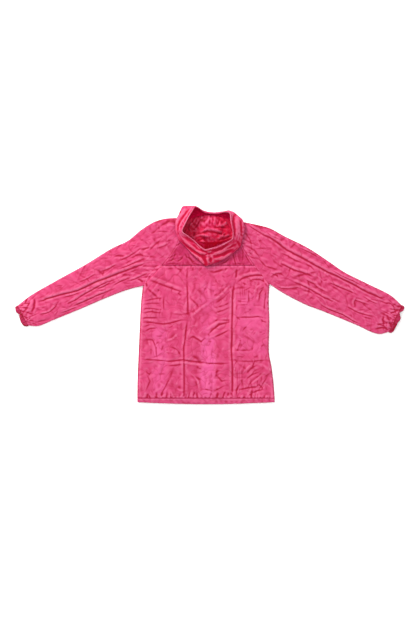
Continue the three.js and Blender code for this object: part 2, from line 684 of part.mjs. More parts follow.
// The hood's inner face at one angle, as reach from the neck's middle and height
function hoodSection(angle) {
  const hood = hoodSizes(angle);
  const start = neckReach(angle) + HALF_GAP;
  const out = hood.outerReach - start;
  const back = hood.outerReach - hood.rimReach;
  const climb = hood.rimZ - hood.outerZ;
  const roll = Math.min(HOOD_ROLL, out * 0.3, climb * 0.35);
  const rollZ = Math.max(hood.outerZ - roll * 0.9, HOOD_CLOTH);
  return new THREE.CatmullRomCurve3([
    [start, hood.neckZ],
    [start + out * 0.45, mix(hood.neckZ, rollZ, 0.5)],
    [hood.outerReach - roll * 1.1, rollZ],
    [hood.outerReach, hood.outerZ],
    [hood.outerReach - Math.min(roll, back * 0.22), hood.outerZ + roll * 1.1],
    [hood.outerReach - back * 0.52, mix(hood.outerZ, hood.rimZ, 0.6)],
    [hood.outerReach - back * 0.8, mix(hood.outerZ, hood.rimZ, 0.86)],
    [hood.rimReach, hood.rimZ],
  ].map(([reach, z]) => new THREE.Vector3(reach, z, 0)), false, "centripetal");
}

// Points up one section, moved out from the hood's inner face
function hoodColumn(angle, steps, innerOut, outerOut) {
  const section = hoodSection(angle);
  const [cos, sin] = [Math.cos(degrees(angle)), Math.sin(degrees(angle))];
  return steps.map((s) => {
    const p = section.getPoint(s);
    const run = section.getTangent(s);
    const place = (out) => {
      const reach = p.x + run.y * out;
      return new THREE.Vector3(NECK.x + cos * reach, NECK.y + sin * reach, p.y - run.x * out);
    };
    return { outer: place(outerOut), inner: place(innerOut) };
  });
}

// Each half runs from the seam at the hood's tip to the middle of the front
function halfAngles(which) {
  const [from, to] = which === "left" ? [90, 270] : [-90, 90];
  const clear = 0.2;
  return evenly(HOOD_STATIONS / 2).map((t) => mix(from + clear, to - clear, t));
}

function hoodHalf(which) {
  return clothWall(halfAngles(which).map((a) => hoodColumn(a, HOOD_STEPS, 0, HOOD_CLOTH)));
}

// The hem of the face opening, turned to the outside of the hood
function casing(which) {
  const from = HOOD_CLOTH + SEAM_GAP;
  const steps = HOOD_STEPS.filter((s) => s >= CASING.from);
  return clothWall(halfAngles(which).map((a) => hoodColumn(a, steps, from, from + CASING.cloth)));
}

const jacket = new THREE.Group();

function add(name, geometry, material) {
  const mesh = new THREE.Mesh(geometry.translate(-CENTRE.x, -CENTRE.y, 0), material);
  mesh.name = name;
  jacket.add(mesh);
}

add("back_panel", backPanel(), SHELL);
add("back_yoke", yoke(), SHELL);
for (const which of ["left", "right"]) {
  add(`front_${which}`, frontPanel(which), SHELL);
  add(`sleeve_${which}`, sleeve(which), SHELL);
  add(`cuff_${which}`, cuff(which), HEMS);
  add(`hood_${which}`, hoodHalf(which), HOOD_SHELL);
  add(`hood_casing_${which}`, casing(which), HEMS);
}
add("hem_back", hem(LEFT_SIDE[0][0], RIGHT_SIDE[0][0], true), HEMS);
add("hem_front_left", hem(LEFT_SIDE[0][0], ZIP.x - ZIP.halfSlit, false), HEMS);
add("hem_front_right", hem(ZIP.x + ZIP.halfSlit, RIGHT_SIDE[0][0], false), HEMS);
add("wind_flap", windFlap(), HEMS);
add("zip", zip(), ZIP_TAPE);
add("zip_slider", slider(), LACQUER);
add("zip_pull", pullTab(), LACQUER);

export default jacket;
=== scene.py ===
# A child's hooded rain jacket of thin coated nylon, laid flat on its front with the hood thrown back.
# Sizes are in millimetres until a mesh is made. They use the CAD source's own origin, in the middle of the back.
import math

import bmesh
import bpy
import numpy as np
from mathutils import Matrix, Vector


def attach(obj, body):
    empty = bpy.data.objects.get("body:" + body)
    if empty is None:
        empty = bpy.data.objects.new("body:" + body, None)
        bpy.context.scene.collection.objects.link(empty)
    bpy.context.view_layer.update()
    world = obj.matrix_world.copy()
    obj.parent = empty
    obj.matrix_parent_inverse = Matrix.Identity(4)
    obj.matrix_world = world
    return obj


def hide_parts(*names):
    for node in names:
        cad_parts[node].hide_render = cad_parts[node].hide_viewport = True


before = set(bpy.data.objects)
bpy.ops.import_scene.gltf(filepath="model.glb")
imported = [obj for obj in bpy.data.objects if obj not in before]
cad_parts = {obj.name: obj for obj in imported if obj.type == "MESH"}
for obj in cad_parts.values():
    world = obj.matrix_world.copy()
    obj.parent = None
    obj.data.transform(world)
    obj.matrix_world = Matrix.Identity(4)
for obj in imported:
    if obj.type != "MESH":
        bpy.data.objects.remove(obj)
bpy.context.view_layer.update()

# Camera: straight down from 5.2 m, as in the photograph, with the neck at the top.
# The photograph covers 1.87 m by 1.25 m of the surface.
VIEW_MIDDLE = (-0.005, -0.022)
VIEW_HEIGHT = 5.2
camera_data = bpy.data.cameras.new("camera")
camera_data.lens = 100
camera_data.clip_end = 30
camera = bpy.data.objects.new("camera", camera_data)
camera.location = (*VIEW_MIDDLE, VIEW_HEIGHT)
bpy.context.scene.collection.objects.link(camera)
bpy.context.scene.camera = camera
bpy.context.scene.view_settings.view_transform = "Standard"

# Light: a soft box beyond the neck, a little to the left, and a white room all round. Between them the
# floor comes out white, as in the photograph.
WINDOW = {"place": (-1.5, 2.35, 1.75), "size": 1.0, "power": 120}
window_data = bpy.data.lights.new("window", "AREA")
window_data.shape = "SQUARE"
window_data.size = WINDOW["size"]
window_data.energy = WINDOW["power"]
window = bpy.data.objects.new("window", window_data)
window.location = WINDOW["place"]
window.rotation_euler = Vector(WINDOW["place"]).to_track_quat("Z", "Y").to_euler()
bpy.context.scene.collection.objects.link(window)
room = bpy.data.worlds.new("room")
room.use_nodes = True
room.node_tree.nodes["Background"].inputs["Color"].default_value = (1, 1, 1, 1)
room.node_tree.nodes["Background"].inputs["Strength"].default_value = 1.3
bpy.context.scene.world = room


# Floor: a matt white paper sweep, not part of the jacket. Its material brings the helpers that every
# later finish uses: a socket with arithmetic, and one call that adds a node.
class Socket:
    def __init__(self, tree, end):
        self.tree, self.end = tree, end

    def node(self, kind, settings=None, inputs=None, out=0):
        made = self.tree.nodes.new(kind)
        for name, value in (settings or {}).items():
            setattr(made, name, value)
        for name, value in (inputs or {}).items():
            target = made.inputs[name]
            if isinstance(value, Socket):
                self.tree.links.new(value.end, target)
            else:
                target.default_value = value
        return Socket(self.tree, made.outputs[out])

    def maths(self, operation, a, b=0.0):
        return self.node("ShaderNodeMath", {"operation": operation}, {0: a, 1: b})

    def __add__(self, other):
        return self.maths("ADD", self, other)

    def __radd__(self, other):
        return self.maths("ADD", other, self)

    def __sub__(self, other):
        return self.maths("SUBTRACT", self, other)

    def __rsub__(self, other):
        return self.maths("SUBTRACT", other, self)

    def __mul__(self, other):
        return self.maths("MULTIPLY", self, other)

    def __rmul__(self, other):
        return self.maths("MULTIPLY", other, self)

    def clamped(self):
        return self.node("ShaderNodeClamp", inputs={"Value": self})

    def between(self, low, high):
        """The colour that goes from low to high as this value goes from 0 to 1."""
        return self.node("ShaderNodeMix", {"data_type": "RGBA"}, {0: self, 6: low, 7: high}, out=2)

    def tinted(self, other, share):
        """This colour turned towards another one."""
        settings = {"data_type": "RGBA", "clamp_factor": True}
        return self.node("ShaderNodeMix", settings, {0: share, 6: self, 7: other}, out=2)


def new_finish(name, plain):
    """A material with a Principled shader, whose plain values are set on its own sockets."""
    material = bpy.data.materials.new(name)
    material.use_nodes = True
    shader = material.node_tree.nodes["Principled BSDF"]
    for socket, value in plain.items():
        shader.inputs[socket].default_value = value
    return material, shader, Socket(material.node_tree, None)


def feed(shader, **links):
    for name, value in links.items():
        shader.id_data.links.new(value.end, shader.inputs[name.replace("_", " ")])


def dyed(red, green, blue, shine=0.01, light=1.8):
    """The dye that comes out as a screen colour of 0 to 255, once lit, with a little white shine on top."""
    parts = [c / 255 for c in (red, green, blue)]
    parts = [c / 12.92 if c < 0.04 else ((c + 0.055) / 1.055) ** 2.4 for c in parts]
    return (*[max(0.0015, (c - shine) / light) for c in parts], 1.0)


paper, paper_shader, at = new_finish("paper", {"Roughness": 0.9})
where = at.node("ShaderNodeTexCoord", out="Object")
fibre = at.node("ShaderNodeTexNoise", inputs={"Vector": where, "Scale": 300.0, "Detail": 2.0}, out="Fac")
feed(paper_shader, Base_Color=fibre.between((0.94, 0.94, 0.94, 1), (0.97, 0.97, 0.97, 1)))
FLOOR_HALF, FLOOR_Z = 6, -0.0004
floor_mesh = bpy.data.meshes.new("floor")
bm = bmesh.new()
bmesh.ops.create_grid(bm, x_segments=1, y_segments=1, size=FLOOR_HALF)
bmesh.ops.translate(bm, verts=bm.verts, vec=(0, 0, FLOOR_Z))
bm.to_mesh(floor_mesh)
bm.free()
floor = bpy.data.objects.new("floor", floor_mesh)
floor.data.materials.append(paper)
bpy.context.scene.collection.objects.link(floor)

# Back panel: the broad piece of thin coated nylon below the yoke, which shows uppermost. It is cut in
# one, sewn to the fronts down the sides, and still carries the square creases of its packing.
CENTRE = (2, -2, 0)  # the frame's origin
EDGE_RADIUS = 3  # of a folded edge
HEM_Y = -283
YOKE_SEAM_Y = 116
YOKE_LAP = 8
SIDE_SEAM_TOP = 56
NECK = {"y": 224, "half_width": 87, "half_depth": 39}
ZIP_X = 3
CLOTH_MM = 0.5
FULL_TONE = 0.5  # of a fold, for the deepest or palest colour
LOWEST = 0.05
OUTLINE = {
    "left": {
        "side": [(-215, -283), (-214, -222), (-211, -150), (-207, -60), (-203, 14), (-198, 54)],
        "underarm": [(-198, 54), (-237, 45), (-297, 23), (-384, -14), (-471, -50), (-512, -66), (-541, -65)],
        "shoulder": [(-147, 252), (-195, 228), (-243, 190), (-291, 167), (-369, 119), (-456, 71), (-537, 24),
                     (-573, -4)],
        "sign": -1, "fold": 140, "back": 190, "front": 120,
    },
    "right": {
        "side": [(197, -283), (192, -225), (186, -180), (180, -150), (181, -50), (179, 6), (181, 60)],
        "underarm": [(181, 60), (219, 35), (288, -1), (348, -24), (438, -61), (508, -90), (538, -84)],
        "shoulder": [(126, 240), (180, 228), (225, 204), (297, 168), (354, 131), (405, 96), (477, 60),
                     (546, 25), (577, -3)],
        "sign": 1, "fold": 40, "back": -10, "front": 60,
    },
}


def smooth(t):
    t = np.clip(t, 0, 1)
    return t * t * (3 - 2 * t)


def mix(a, b, t):
    return a + (b - a) * t


def bent(points, steps=24):
    """Even steps along a smooth line through points, on the last two axes of an array."""
    p = np.asarray(points, float)
    first = 2 * p[..., :1, :] - p[..., 1:2, :]
    last = 2 * p[..., -1:, :] - p[..., -2:-1, :]
    p = np.concatenate([first, p, last], axis=-2)
    gap = np.maximum(((p[..., 1:, :] - p[..., :-1, :]) ** 2).sum(-1, keepdims=True) ** 0.25, 1e-4)
    t = np.linspace(0, 1, steps, endpoint=False)[:, None]
    runs = []
    for k in range(1, p.shape[-2] - 2):
        a, b, c, d = (p[..., k + n:k + n + 1, :] for n in (-1, 0, 1, 2))
        ga, gb, gc = (gap[..., k + n:k + n + 1, :] for n in (-1, 0, 1))
        leave = ((b - a) / ga - (c - a) / (ga + gb) + (c - b) / gb) * gb
        reach = ((c - b) / gb - (d - b) / (gb + gc) + (d - c) / gc) * gb
        runs.append(b + leave * t + (3 * (c - b) - 2 * leave - reach) * t**2 + (2 * (b - c) + leave + reach) * t**3)
    return np.concatenate(runs + [p[..., -2:-1, :]], axis=-2)


def along(line, shares):
    """Points of a line at shares of its length."""
    steps = np.hypot(*np.diff(line, axis=0).T)
    reached = np.concatenate([[0], np.cumsum(steps)]) / steps.sum()
    return np.stack([np.interp(shares, reached, line[:, k]) for k in (0, 1)], axis=-1)


def neck_point(angle, grow=0.0):
    a = np.radians(angle)
    return np.stack([(NECK["half_width"] + grow) * np.cos(a), NECK["y"] + (NECK["half_depth"] + grow) * np.sin(a)], -1)


def neck_line(x):
    """Where the front of the neck seam lies at a distance across."""
    return NECK["y"] + NECK["half_depth"] * np.sqrt(np.clip(1 - (x / NECK["half_width"]) ** 2, 0, 1))


for side in OUTLINE.values():
    side["side"] = bent(side["side"])
    side["underarm"] = bent(side["underarm"])
    side["shoulder"] = bent([tuple(neck_point(side["fold"])), *side["shoulder"]])
    armpit, back_neck, front_neck = side["side"][-1], neck_point(side["back"]), neck_point(side["front"])
    side["armpit"] = armpit
    side["back_seam"] = bent([
        armpit,
        (mix(armpit[0], back_neck[0], 0.5) + side["sign"] * 2, mix(armpit[1], back_neck[1], 0.36)),
        (back_neck[0] + side["sign"] * 13, mix(armpit[1], back_neck[1], 0.74)),
        back_neck,
    ])
    side["front_seam"] = bent([
        armpit,
        (mix(armpit[0], front_neck[0], 0.5) + side["sign"] * 6, mix(armpit[1], front_neck[1], 0.42)),
        front_neck,
    ])


def edge_x(which, y):
    """Where the back's left or right edge lies at a height: the side seam, then the raglan seam."""
    side = OUTLINE[which]
    line = np.vstack([side["side"], side["back_seam"][1:]])
    return np.interp(y, line[:, 1], line[:, 0])


def waves(x, y, size, seed, count=6):
    """Soft uneven waves about as long as size, from about -1 to 1."""
    chance = np.random.RandomState(seed)
    total = 0
    for _ in range(count):
        turn, phase, length = chance.uniform(0, 2 * math.pi), chance.uniform(0, 6), size * chance.uniform(0.7, 1.5)
        total = total + np.sin((x * math.cos(turn) + y * math.sin(turn)) * 2 * math.pi / length + phase)
    return total / (0.75 * count)


def folds(x, y, rows, wander=2.5):
    """Height of folds, each a row of height, half width, lean to one side, and its line in plan."""
    x = x + wander * waves(x, y, 70, 3)
    y = y + wander * waves(x, y, 60, 4)
    total = np.zeros_like(x)
    for height, width, lean, line in rows:
        line = np.array(line, float)
        reach = 3.2 * width * (1 + abs(lean))
        low, high = line.min(0) - reach, line.max(0) + reach
        near = np.flatnonzero((x > low[0]) & (x < high[0]) & (y > low[1]) & (y < high[1]))
        if not len(near):
            continue
        px, py = x[near], y[near]
        lengths = np.hypot(*np.diff(line, axis=0).T)
        done, whole = 0.0, lengths.sum()
        away, way, run = np.full(len(near), 1e9), np.zeros(len(near)), np.zeros(len(near))
        for a, b, length in zip(line[:-1], line[1:], lengths):
            dx, dy = (b - a) / length
            t = np.clip((px - a[0]) * dx + (py - a[1]) * dy, 0, length)
            qx, qy = px - a[0] - t * dx, py - a[1] - t * dy
            d = np.hypot(qx, qy)
            nearer = d < away
            away[nearer] = d[nearer]
            way[nearer] = np.sign(dx * qy - dy * qx)[nearer]
            run[nearer] = (done + t)[nearer]
            done += length
        fade = min(45.0, 0.4 * whole)
        ends = smooth(run / fade + 0.1) * smooth((whole - run) / fade + 0.1)
        uneven = 0.85 + 0.15 * np.sin(run / 17 + line[0, 0])
        total[near] += height * ends * uneven * np.exp(-((away / (width * (1 + lean * way))) ** 2))
    return total


def tuck(height, width, side, line):
    """A fold that has fallen over: the groove at its foot on the line, and its ridge to the left or right."""
    line = np.array(line, float)
    run = np.gradient(line, axis=0)
    run /= np.linalg.norm(run, axis=1, keepdims=True)
    ridge = line + side * width * np.stack([-run[:, 1], run[:, 0]], -1)
    shade = 2 * line - ridge
    return [(-0.7 * height, 0.38 * width, 0, line), (-0.3 * height, 1.2 * width, 0, shade),
            (0.6 * height, 0.8 * width, 0.4 * side, ridge)]


def drawn_in(seed, line, pitch, reach, height, width=2.2):
    """Short creases that a row of stitching draws in, unevenly, on the left of its line."""
    chance = np.random.RandomState(seed)
    line = np.array(line, float)
    steps = np.hypot(*np.diff(line, axis=0).T)
    reached = np.concatenate([[0], np.cumsum(steps)])
    rows, run = [], 0.0
    while True:
        run += pitch * chance.uniform(0.25, 1.9)
        if run > reached[-1]:
            return rows
        k = min(np.searchsorted(reached, run) - 1, len(steps) - 1)
        way = (line[k + 1] - line[k]) / steps[k]
        start = line[k] + way * (run - reached[k])
        turn = math.pi / 2 + chance.normal(0, 0.5)
        out = np.array([way[0] * math.cos(turn) - way[1] * math.sin(turn),
                        way[0] * math.sin(turn) + way[1] * math.cos(turn)])
        far = reach * chance.uniform(0.35, 1.4)
        middle = start + out * far * 0.5 + way * chance.normal(0, 0.12) * far
        rows.append((height * chance.uniform(0.4, 1.0) * (1 if chance.rand() < 0.45 else -1),
                     width * chance.uniform(0.7, 1.4), 0, [start - out * 0.25 * far, middle, start + out * far]))


def scattered(seed, count, box, length, height, width, flow=None):
    """Many small creases with no order, or lying roughly along a flow given in degrees."""
    chance = np.random.RandomState(seed)
    rows = []
    for _ in range(count):
        middle = np.array([chance.uniform(box[0], box[2]), chance.uniform(box[1], box[3])])
        turn = chance.uniform(0, math.pi) if flow is None else math.radians(flow + chance.normal(0, 24))
        half = length * chance.uniform(0.35, 1.0) / 2
        run = np.array([math.cos(turn), math.sin(turn)]) * half
        bend = np.array([-run[1], run[0]]) * chance.uniform(-0.3, 0.3)
        rise = height * chance.uniform(0.35, 1.0) * (0.8 if chance.rand() < 0.45 else -1)
        rows.append((rise, width * chance.uniform(0.6, 1.5), chance.uniform(-0.6, 0.6),
                     [middle - run, middle + bend, middle + run]))
    return rows


def plan_of(piece):
    """Across and along of each point of a piece."""
    co = np.empty(3 * len(piece.data.vertices), np.float32)
    piece.data.vertices.foreach_get("co", co)
    return co[0::3] * 1000 + CENTRE[0], co[1::3] * 1000 + CENTRE[1]


def set_mark(mesh, name, values):
    """A value on each point that the finishes read."""
    mesh.attributes.new(name, "FLOAT", "POINT").data.foreach_set("value", values.astype(np.float32).ravel())


def cloth_piece(name, across, length, place, finish, inside=None, up=True, wrap=False, thick=CLOTH_MM, blur=3):
    """A sheet from an even grid. place gives each point in mm from its two shares, and its tone: folds in mm, which the
    finish paints as shade in hollows and highlight on ridges.
    """
    bm = bmesh.new()
    bm.loops.layers.uv.new("UVMap")
    bmesh.ops.create_grid(bm, x_segments=across, y_segments=length, size=0.5, calc_uvs=True)
    mesh = bpy.data.meshes.new(name)
    bm.to_mesh(mesh)
    bm.free()
    flat = np.empty(3 * len(mesh.vertices), np.float32)
    mesh.vertices.foreach_get("co", flat)
    u, v = flat[0::3] + 0.5, flat[1::3] + 0.5
    points, rise = place(u.astype(float), v.astype(float))
    points[:, 2] = np.maximum(points[:, 2], LOWEST)
    mesh.vertices.foreach_set("co", ((points - np.array(CENTRE)) / 1000).astype(np.float32).ravel())
    heights = rise.reshape(length + 1, across + 1)
    edge = "wrap" if wrap else "edge"
    wide = np.pad(np.pad(heights, ((blur, blur), (0, 0)), "edge"), ((0, 0), (blur, blur)), edge)
    span = 2 * blur + 1
    level = sum(wide[i:i + length + 1, j:j + across + 1] for i in range(span) for j in range(span)) / span**2
    level = level if blur else 0  # without blur the tone is used as it is
    # The fold mark: painted shade where the tone lies below its blurred level, painted highlight where it lies above.
    set_mark(mesh, "fold", np.clip((heights - level) / FULL_TONE, -1, 1))
    mesh.polygons.foreach_set("use_smooth", np.ones(len(mesh.polygons), bool))
    bm = bmesh.new()
    bm.from_mesh(mesh)
    bm.faces.ensure_lookup_table()
    if wrap:
        bmesh.ops.remove_doubles(bm, verts=bm.verts, dist=1e-6)
        bmesh.ops.recalc_face_normals(bm, faces=bm.faces)
    elif (sum(f.normal.z for f in bm.faces[-len(bm.faces) // 4:]) > 0) != up:
        bmesh.ops.reverse_faces(bm, faces=bm.faces)
    for edge in bm.edges:
        edge.smooth = not edge.is_boundary
    bm.to_mesh(mesh)
    bm.free()
    piece = bpy.data.objects.new(name, mesh)
    bpy.context.scene.collection.objects.link(piece)
    wall = piece.modifiers.new("wall", "SOLIDIFY")
    wall.thickness = thick / 1000
    wall.offset = -1
    mesh.materials.append(finish)
    if inside:
        mesh.materials.append(inside)
        wall.material_offset = 1
    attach(piece, "jacket")
    return piece


def nylon(name, colour, crease_shade, ridge_highlight, crinkle=1.0, gloss=0.2, shade_colour=None):
    """Thin coated nylon: softly glossy and crushed all over, with painted shade in crimson along its creases and a
    paler painted highlight beside them.
    """
    material, shader, at = new_finish(name, {"Sheen Weight": gloss * 0.06, "Specular IOR Level": gloss * 0.5})
    where = at.node("ShaderNodeTexCoord", out="Object")
    fold = at.node("ShaderNodeAttribute", {"attribute_name": "fold"}, out="Fac")
    under = at.node("ShaderNodeAttribute", {"attribute_name": "under"}, out="Fac")
    blotch = at.node("ShaderNodeTexNoise", inputs={"Vector": where, "Scale": 9.0, "Detail": 3.0}, out="Fac")
    lumps = at.node("ShaderNodeTexNoise", inputs={"Vector": where, "Scale": 46.0, "Detail": 3.0}, out="Fac")
    grain = at.node("ShaderNodeTexNoise", inputs={"Vector": where, "Scale": 260.0, "Detail": 2.0}, out="Fac")
    crushed = {"Vector": where, "Detail": 0.0, "Offset": 1.0, "Gain": 1.0, "Distortion": 0.7}
    ridged = {"noise_type": "RIDGED_MULTIFRACTAL"}
    long_lines = at.node("ShaderNodeTexNoise", ridged, {**crushed, "Scale": 17.0}, out="Fac")
    short_lines = at.node("ShaderNodeTexNoise", ridged, {**crushed, "Scale": 41.0}, out="Fac")
    patchy = ((blotch - 0.46) * 6.0).clamped()
    long_creases = ((long_lines - 0.84) * 7.0).clamped() * patchy
    short_creases = ((short_lines - 0.8) * 6.0).clamped() * (1.0 - patchy * 0.6)
    duller = (*[c * 0.84 for c in colour[:3]], 1)
    tone = ((blotch - 0.3) * 1.6).between(duller, colour)
    # Painted shade where the cloth is marked for it: deep inside the neck and low on the hood.
    if shade_colour:
        painted_shade = at.node("ShaderNodeAttribute", {"attribute_name": "painted_shade"}, out="Fac")
        tone = tone.tinted(shade_colour, painted_shade)
    tone = tone.tinted(BRIGHTER, under)
    # Painted highlight: paler on the ridges of the folds and on the tops of the bump's lumps, with a little random
    # grain.
    tone = tone.tinted(ridge_highlight, fold.clamped() * 0.55 + (lumps - 0.5).clamped() * 0.7 + (grain - 0.5) * 0.1)
    # Painted shade: crimson in the hollows of the folds.
    tone = tone.tinted(crease_shade, (0.0 - fold).clamped() * 0.95)
    # Painted shade: crimson along the bump's crease lines and in the hollows between its lumps.
    tone = tone.tinted(crease_shade, (long_creases * 0.45 + short_creases * 0.34 + (0.5 - lumps).clamped() * 0.8) * crinkle)
    relief = lumps * (0.0010 * crinkle) - (long_lines * 0.0016 + short_lines * 0.0008) * crinkle + grain * 0.00005
    bumped = at.node("ShaderNodeBump", inputs={"Strength": 1.0, "Distance": 1.0, "Height": relief})
    feed(shader, Base_Color=tone, Roughness=0.42 + (blotch - 0.5) * 0.2 + (grain - 0.5) * 0.1, Normal=bumped)
    return material


BRIGHTER = dyed(255, 106, 170)
shell = nylon("shell_nylon", dyed(242, 80, 134), dyed(184, 0, 62), dyed(254, 128, 170))

# Creases of the back: height, half width, lean, line. The long ones are those of the packing.
BACK_CREASES = [
    (-1.0, 2.2, 0, [(-65, 105), (-65, 73)]),
    (-1.7, 2.4, 0.3, [(-65, 73), (-65, 12), (-65, -40)]),
    (-1.6, 2.6, 0.3, [(-64, -43), (-68, -69), (-76, -126), (-76, -174), (-76, -288)]),
    (-1.3, 3.0, 0, [(82, 109), (81, 75)]),
    (-2.1, 2.7, -0.3, [(79, 72), (73, 37), (70, -40), (69, -126), (71, -184), (70, -288)]),
    (-1.3, 2.1, 0, [(-207, -42), (-177, -42), (-150, -40)]),
    (-1.3, 2.6, 0, [(-206, -52), (-172, -56), (-138, -60), (-98, -52), (-66, -47)]),
    (-1.2, 2.2, 0, [(74, -42), (108, -40), (146, -38), (177, -43)]),
    (-1.1, 2.2, 0, [(149, -40), (159, -51), (175, -55)]),
    (-1.3, 2.4, 0.3, [(-206, -166), (-161, -168), (-121, -172), (-78, -168), (-46, -172), (0, -179), (37, -179),
                      (69, -177)]),
    (0.8, 2.6, 0, [(-123, -178), (-78, -175), (-45, -179), (0, -186)]),
    (-0.9, 2.2, 0, [(72, -171), (123, -171), (180, -168)]),
    (-1.0, 2.0, 0, [(-124, -184), (-102, -184), (-78, -182)]),
    (-1.2, 2.0, 0, [(-198, 10), (-171, 14), (-136, 18)]),
    (-0.9, 1.8, 0, [(-198, 0), (-162, 2), (-141, 3)]),
    (-1.1, 2.0, 0, [(-200, -15), (-168, -15), (-138, -16)]),
    (-1.2, 2.0, 0, [(-201, -28), (-171, -24), (-138, -26)]),
    (-1.1, 2.0, 0, [(-135, 24), (-136, 3), (-135, -21)]),
    (-0.6, 1.8, 0, [(81, 15), (102, 14), (117, 16)]),
    (-0.6, 1.8, 0, [(83, 6), (102, 7), (118, 6)]),
    (-0.6, 1.8, 0, [(81, -2), (99, -3), (117, -1)]),
    (-1.0, 2.0, 0, [(119, 48), (118, 24), (119, -3)]),
    (-0.6, 1.8, 0, [(93, 51), (94, 21)]),
    (-0.6, 1.8, 0, [(100, 54), (100, 21)]),
    (-0.6, 1.8, 0, [(106, 51), (107, 21)]),
    (-0.6, 1.8, 0, [(113, 48), (113, 21)]),
    (1.1, 6.0, -0.3, [(-189, 82), (-171, 79), (-129, 64), (-102, 52), (-69, 42)]),
    (-1.2, 2.8, 0.3, [(-186, 74), (-176, 70), (-135, 56), (-102, 43), (-69, 33)]),
    (-1.0, 3.0, 0, [(-189, 51), (-159, 24), (-147, 12)]),
    (-2.0, 2.8, 0.3, [(80, 60), (90, 69), (100, 76), (126, 84), (143, 86), (178, 82)]),
    (1.2, 4.0, 0, [(83, 70), (99, 83), (123, 92), (147, 95), (177, 92)]),
    (-1.2, 2.4, 0, [(111, 63), (129, 73), (153, 73), (171, 66)]),
    (1.0, 2.6, 0, [(135, 24), (141, 48), (159, 63)]),
    (-1.0, 2.4, 0, [(150, 6), (154, 33), (165, 54)]),
    (-1.1, 2.4, 0, [(166, -24), (168, 9), (172, 36)]),
    (1.5, 3.4, 0, [(5, 6), (40, 32), (69, 63)]),
    (-1.1, 3.2, 0, [(15, 0), (45, 21), (69, 45)]),
    (-1.3, 7.0, 0.5, [(-40, 49), (-24, 36), (-9, 14)]),
    (1.5, 3.8, 0, [(-58, -40), (-23, -11), (5, 6)]),
    (1.2, 3.6, 0, [(5, 6), (-3, 42), (6, 81)]),
    (-0.9, 3.0, 0, [(-30, -6), (-54, 15), (-60, 36)]),
    (-1.0, 2.6, 0, [(15, -27), (42, -21), (68, -6)]),
    (-1.0, 2.6, 0, [(21, -10), (45, -6), (66, 9)]),
    (-1.2, 2.4, 0, [(12, -52), (39, -48), (68, -47)]),
    (-2.2, 3.2, 0.4, [(-6, -95), (11, -78), (31, -63), (60, -54), (70, -52)]),
    (1.7, 3.6, 0, [(-12, -82), (6, -66), (30, -50), (57, -41)]),
    (-1.5, 2.8, 0, [(-64, -106), (-46, -98), (-23, -112), (-6, -95)]),
    (-1.2, 2.6, 0, [(12, -102), (36, -90), (63, -75)]),
    (-1.4, 4.0, 0, [(-6, 100), (15, 95), (51, 103)]),
    (-1.0, 2.2, 0, [(-201, -108), (-170, -106), (-159, -129), (-158, -156), (-183, -162)]),
    (-1.0, 2.2, 0, [(-195, -84), (-177, -74), (-153, -72)]),
    (-0.9, 2.2, 0, [(-198, -69), (-177, -62), (-153, -65)]),
    (1.1, 2.6, 0, [(-132, -111), (-111, -104), (-93, -87)]),
    (-1.0, 2.4, 0, [(-117, -126), (-96, -138), (-81, -159)]),
    (-0.6, 1.8, 0, [(84, -186), (86, -255)]),
    (-0.6, 1.8, 0, [(91, -183), (92, -252)]),
    (-0.6, 1.8, 0, [(98, -186), (99, -246)]),
    (1.3, 2.6, 0, [(104, -204), (117, -189), (132, -176)]),
    (-1.3, 2.4, 0, [(110, -210), (126, -193), (147, -182)]),
    (-1.3, 2.4, 0, [(74, -258), (117, -252), (141, -248), (163, -237)]),
    (-1.2, 2.2, 0, [(102, -231), (129, -212), (159, -200)]),
    (1.4, 2.6, 0, [(120, -243), (147, -222), (171, -201)]),
    (-1.1, 2.2, 0, [(141, -267), (159, -243), (177, -216)]),
    (-1.1, 2.2, 0, [(117, -276), (141, -261), (171, -255)]),
    (-1.0, 2.2, 0, [(123, -228), (129, -255), (120, -276)]),
    (-0.9, 2.2, 0, [(-39, -270), (-18, -255), (9, -261), (45, -246), (66, -243)]),
    (-0.9, 2.2, 0, [(-147, -273), (-129, -246), (-117, -222)]),
    (-0.9, 2.2, 0, [(-192, -264), (-177, -231), (-189, -204)]),
    (1.0, 3.0, 0, [(-57, -204), (-33, -231), (-27, -264)]),
    (-0.9, 2.6, 0, [(18, -210), (39, -231), (57, -228)]),
    (-2.4, 3.0, 0, [(174, 84), (178, 72), (181, 56)]),
    (-1.4, 2.4, 0, [(161, 92), (177, 94), (188, 91)]),
    (-2.0, 2.6, 0, [(-194, 66), (-188, 60), (-186, 50)]),
    (-0.5, 2.0, 0, [(-21, -111), (-16, -140), (-22, -165)]),
    (0.5, 2.2, 0, [(-4, -100), (-2, -140), (3, -172)]),
    (-0.5, 2.0, 0, [(12, -120), (8, -150), (13, -178)]),
    (0.5, 2.2, 0, [(-12, -192), (-2, -222), (-12, -258)]),
    (-0.4, 2.0, 0, [(4, -190), (10, -226), (6, -262)]),
    (-0.6, 2.0, 0, [(-24, -276), (-8, -268), (10, -274)]),
]
BACK_CREASES += scattered(21, 260, (-210, -280, 190, 118), 30, 0.8, 2.0)
BACK_CREASES += scattered(31, 60, (-210, -280, 190, 118), 70, 1.0, 4.5)
BACK_CREASES += scattered(32, 26, (76, -280, 190, -180), 44, 1.0, 2.2, flow=50)
BACK_CREASES += scattered(33, 22, (120, 20, 182, 118), 30, 1.0, 2.2)
BACK_CREASES += drawn_in(34, [(-212, HEM_Y), (194, HEM_Y)], 5.5, 20, 1.3)
BACK_CREASES += drawn_in(35, [(150, YOKE_SEAM_Y), (-160, YOKE_SEAM_Y)], 10, 12, 0.55)


def rounded(inset):
    """How near the cloth is to its full height, from a folded edge inwards."""
    lean = np.clip((EDGE_RADIUS - inset) / EDGE_RADIUS, 0, 1)
    return np.sqrt(1 - lean**2)


